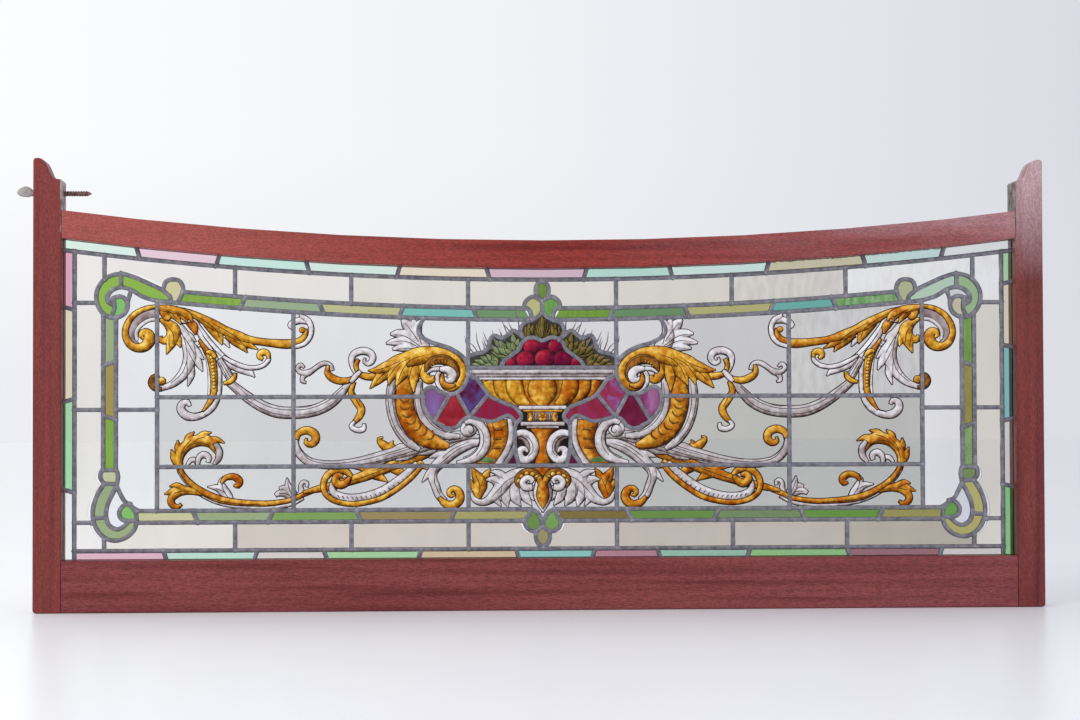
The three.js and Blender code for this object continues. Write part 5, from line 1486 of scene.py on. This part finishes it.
# Each kind of paint: its slot, and its shades from dark to lit with the colour of its patches.
FIRED = {
    "gold": ("gold_stain", fired_paint("silver_stain_gold", [
        (0.0, "#40260a"), (0.2, "#72490f"), (0.42, "#aa7a1c"), (0.6, "#d6a432"), (0.8, "#f0cd68"),
        (1.0, "#f3dfa4")], "#c8863e", 0.55, 0.35)),
    "white": ("grey_enamel", fired_paint("grey_white_matt", [
        (0.0, "#443c3b"), (0.2, "#7a6f6e"), (0.4, "#b5adad"), (0.56, "#d8d4d6"), (0.8, "#ebebed")],
        "#a08e8c", 0.3, 0.3)),
    "umber": ("gold_stain", fired_paint("dark_umber_wash", [
        (0.0, "#2a180a"), (0.4, "#5f3812"), (0.7, "#8f5c1e"), (1.0, "#a8742a")], "#b08060", 0.3)),
    "black": ("trace_paint", fired_paint("black_ground", [
        (0.0, "#16120f"), (1.0, "#2a241f")], "#806050", 0.2)),
    "leaf": ("leaf_enamel", fired_paint("olive_enamel", [
        (0.0, "#1c2014"), (0.25, "#414a2c"), (0.5, "#68764f"), (0.75, "#889669"), (1.0, "#9aa680")],
        "#ecb88c", 0.1, 0.35)),
    "fruit": ("fruit_enamel", fired_paint("crimson_enamel", [
        (0.0, "#24040f"), (0.25, "#4e081c"), (0.5, "#7e1534"), (0.75, "#ac2034"), (1.0, "#c45060")],
        "#a860d8", 0.4, 0.25, 9)),
    "green": ("leaf_enamel", fired_paint("green_stain", [
        (0.0, "#3c5a3a"), (1.0, "#6e8a56")], "#a0c0a0", 0.4)),
    "wash": ("trace_paint", fired_paint("thinned_trace_paint", [
        (0.0, "#5b5156"), (1.0, "#8a7e84")], "#b0a0a0", 0.5)),
    "trace": ("trace_paint", fired_paint("black_trace_paint", [
        (0.0, "#1b1613"), (0.5, "#2b2320"), (1.0, "#40342e")], "#c0a090", 0.5)),
}
FILM_THICKNESS = 0.00002
for kind, (slot, paint) in FIRED.items():
    piece = mesh_object(f"painting_{kind}", coats[kind], paint, PAINT_VALUES)
    body = piece.modifiers.new("film", "SOLIDIFY")
    body.thickness, body.offset = FILM_THICKNESS, -1.0
    piece.modifiers.new("fired_on_the_back_too", "MIRROR").use_axis = (False, True, False)
    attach(piece, "root")

# Glass paint matted over the whole pane, black but for the brush's cloudy thin places.
ground, tree, shader, place = finish("black_matted_glass", {"Roughness": 0.35, "IOR": 1.5})
soot = node(tree, "ShaderNodeTexNoise", {"Vector": place, "Scale": 1000 / 6, "Detail": 3.0})
wash = node(tree, "ShaderNodeValToRGB", {"Fac": soot}, stops=[(0.35, "#14130f"), (0.75, "#2f2c20")])
wire(tree, shader, {"Base Color": wash})
dress(both("foliage_spread") + ["foliage_crest"], ground)
dress_streaky("fruit", "#3a1040", "#54163c")

# ---------------------------------------------------------------------------------------
# The pivot screw still in the left horn: a forged steel coach screw with its end beaten
# flat into a leaf, driven through from outside. It is rusted brown, and scaly on the leaf.

SHANK_Z = 494.5
SHANK_START = -604.0
SHANK_END = -534.0
SHANK_RADIUS = 3.25
THREAD_FOOT = -577.0
THREAD_PITCH = 3.1
THREAD_DEPTH = 0.85
POINT_LENGTH = 5.0
LEAF_HALF_THICKNESS = 1.9
LEAF_RINGS = 9
SHANK_RINGS = 210
SHANK_SIDES = 22
LEAF_OUTLINE = [(-601.5, 495), (-604, 499.5), (-611, 503.2), (-618.5, 500.5), (-621.8, 495.5), (-618, 491.6),
                (-610, 490.2), (-604, 491.8)]

shank_x = np.linspace(SHANK_START, SHANK_END, SHANK_RINGS)
shank_turn = np.linspace(0, 2 * np.pi, SHANK_SIDES, endpoint=False)


def threaded_shank():
    """Radius at each x and angle: the shank's, less a groove as deep as the thread where x over the
    pitch, less the angle in turns, is near a whole number, narrowing to a point at the far end."""
    turns = (shank_x[:, None] / THREAD_PITCH - shank_turn / (2 * np.pi)) % 1.0
    groove = np.clip(1.5 * np.abs(2 * turns - 1) - 0.4, 0, 1) * (shank_x[:, None] > THREAD_FOOT)
    narrowing = np.clip((SHANK_END - shank_x) / POINT_LENGTH, 0.06, 1.0)[:, None] ** 0.7
    radius = (SHANK_RADIUS - THREAD_DEPTH * groove) * narrowing
    points = np.stack([np.broadcast_to(shank_x[:, None], radius.shape), radius * np.cos(shank_turn),
                       SHANK_Z + radius * np.sin(shank_turn)], -1).reshape(-1, 3)
    first = np.arange(SHANK_SIDES)[None]
    last = first + SHANK_SIDES * (SHANK_RINGS - 1)
    return points, [grid_faces(SHANK_RINGS, SHANK_SIDES, ring=True), first[:, ::-1], last]


def beaten_leaf():
    """The outline drawn in towards its middle ring by ring: at share r of the way out, the faces stand
    half the thickness times the square root of 1 less r to the fourth from the middle plane."""
    outline = bent(*LEAF_OUTLINE, LEAF_OUTLINE[0], spacing=1.2)[:-1]
    middle = outline.mean(axis=0)
    outward = np.linspace(0.05, 1, LEAF_RINGS)
    share = np.concatenate([outward, np.linspace(1, 0.05, LEAF_RINGS)[1:]])[:, None]
    front = np.repeat([-1.0, 1.0], [LEAF_RINGS, LEAF_RINGS - 1])[:, None]
    depth = front * LEAF_HALF_THICKNESS * np.sqrt(1 - 0.97 * share ** 4) * (1 + 0.08 * np.sin(outline[:, 0]))
    plane = middle + (outline - middle) * share[..., None]
    points = np.stack([plane[..., 0], depth, plane[..., 1]], -1).reshape(-1, 3)
    n = len(outline)
    first = np.arange(n)[None]
    return points, [grid_faces(len(share), n, ring=True), first[:, ::-1], first + (len(share) - 1) * n]


# Brown rust in flaky patches 3.5 mm across, rubbed back towards grey steel on the leaf.
rust, tree, shader, place = finish("rusted_forged_steel", {"Metallic": 0.35, "Roughness": 0.75})
scale_patches = node(tree, "ShaderNodeTexNoise", {
    "Vector": place, "Scale": 1000 / 3.5, "Detail": 5.0, "Roughness": 0.65})
rusty = node(tree, "ShaderNodeValToRGB", {"Fac": scale_patches},
             stops=[(0.3, "#3f2b29"), (0.5, "#6e4d48"), (0.62, "#866a66"), (0.75, "#a3948e")])
along_screw = node(tree, "ShaderNodeSeparateXYZ", {"Vector": place})
leaf_share = node(tree, "ShaderNodeMapRange", {
    "Value": along_screw.outputs["X"], "From Min": -0.600, "From Max": -0.606, "To Max": 0.8})
worn_bright = node(tree, "ShaderNodeMix", {
    "Factor": leaf_share, 6: rusty, 7: srgb("#b5b1ae")}, data_type="RGBA")
pitted = node(tree, "ShaderNodeBump", {"Height": scale_patches, "Strength": 0.7, "Distance": 0.0005})
wire(tree, shader, {"Base Color": worn_bright, "Normal": pitted})
screw = mesh_object("pivot_screw_threaded", [threaded_shank(), beaten_leaf()], rust)
for polygon in screw.data.polygons:
    polygon.use_smooth = len(polygon.vertices) == 4
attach(screw, "root")
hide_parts("pivot_screw")
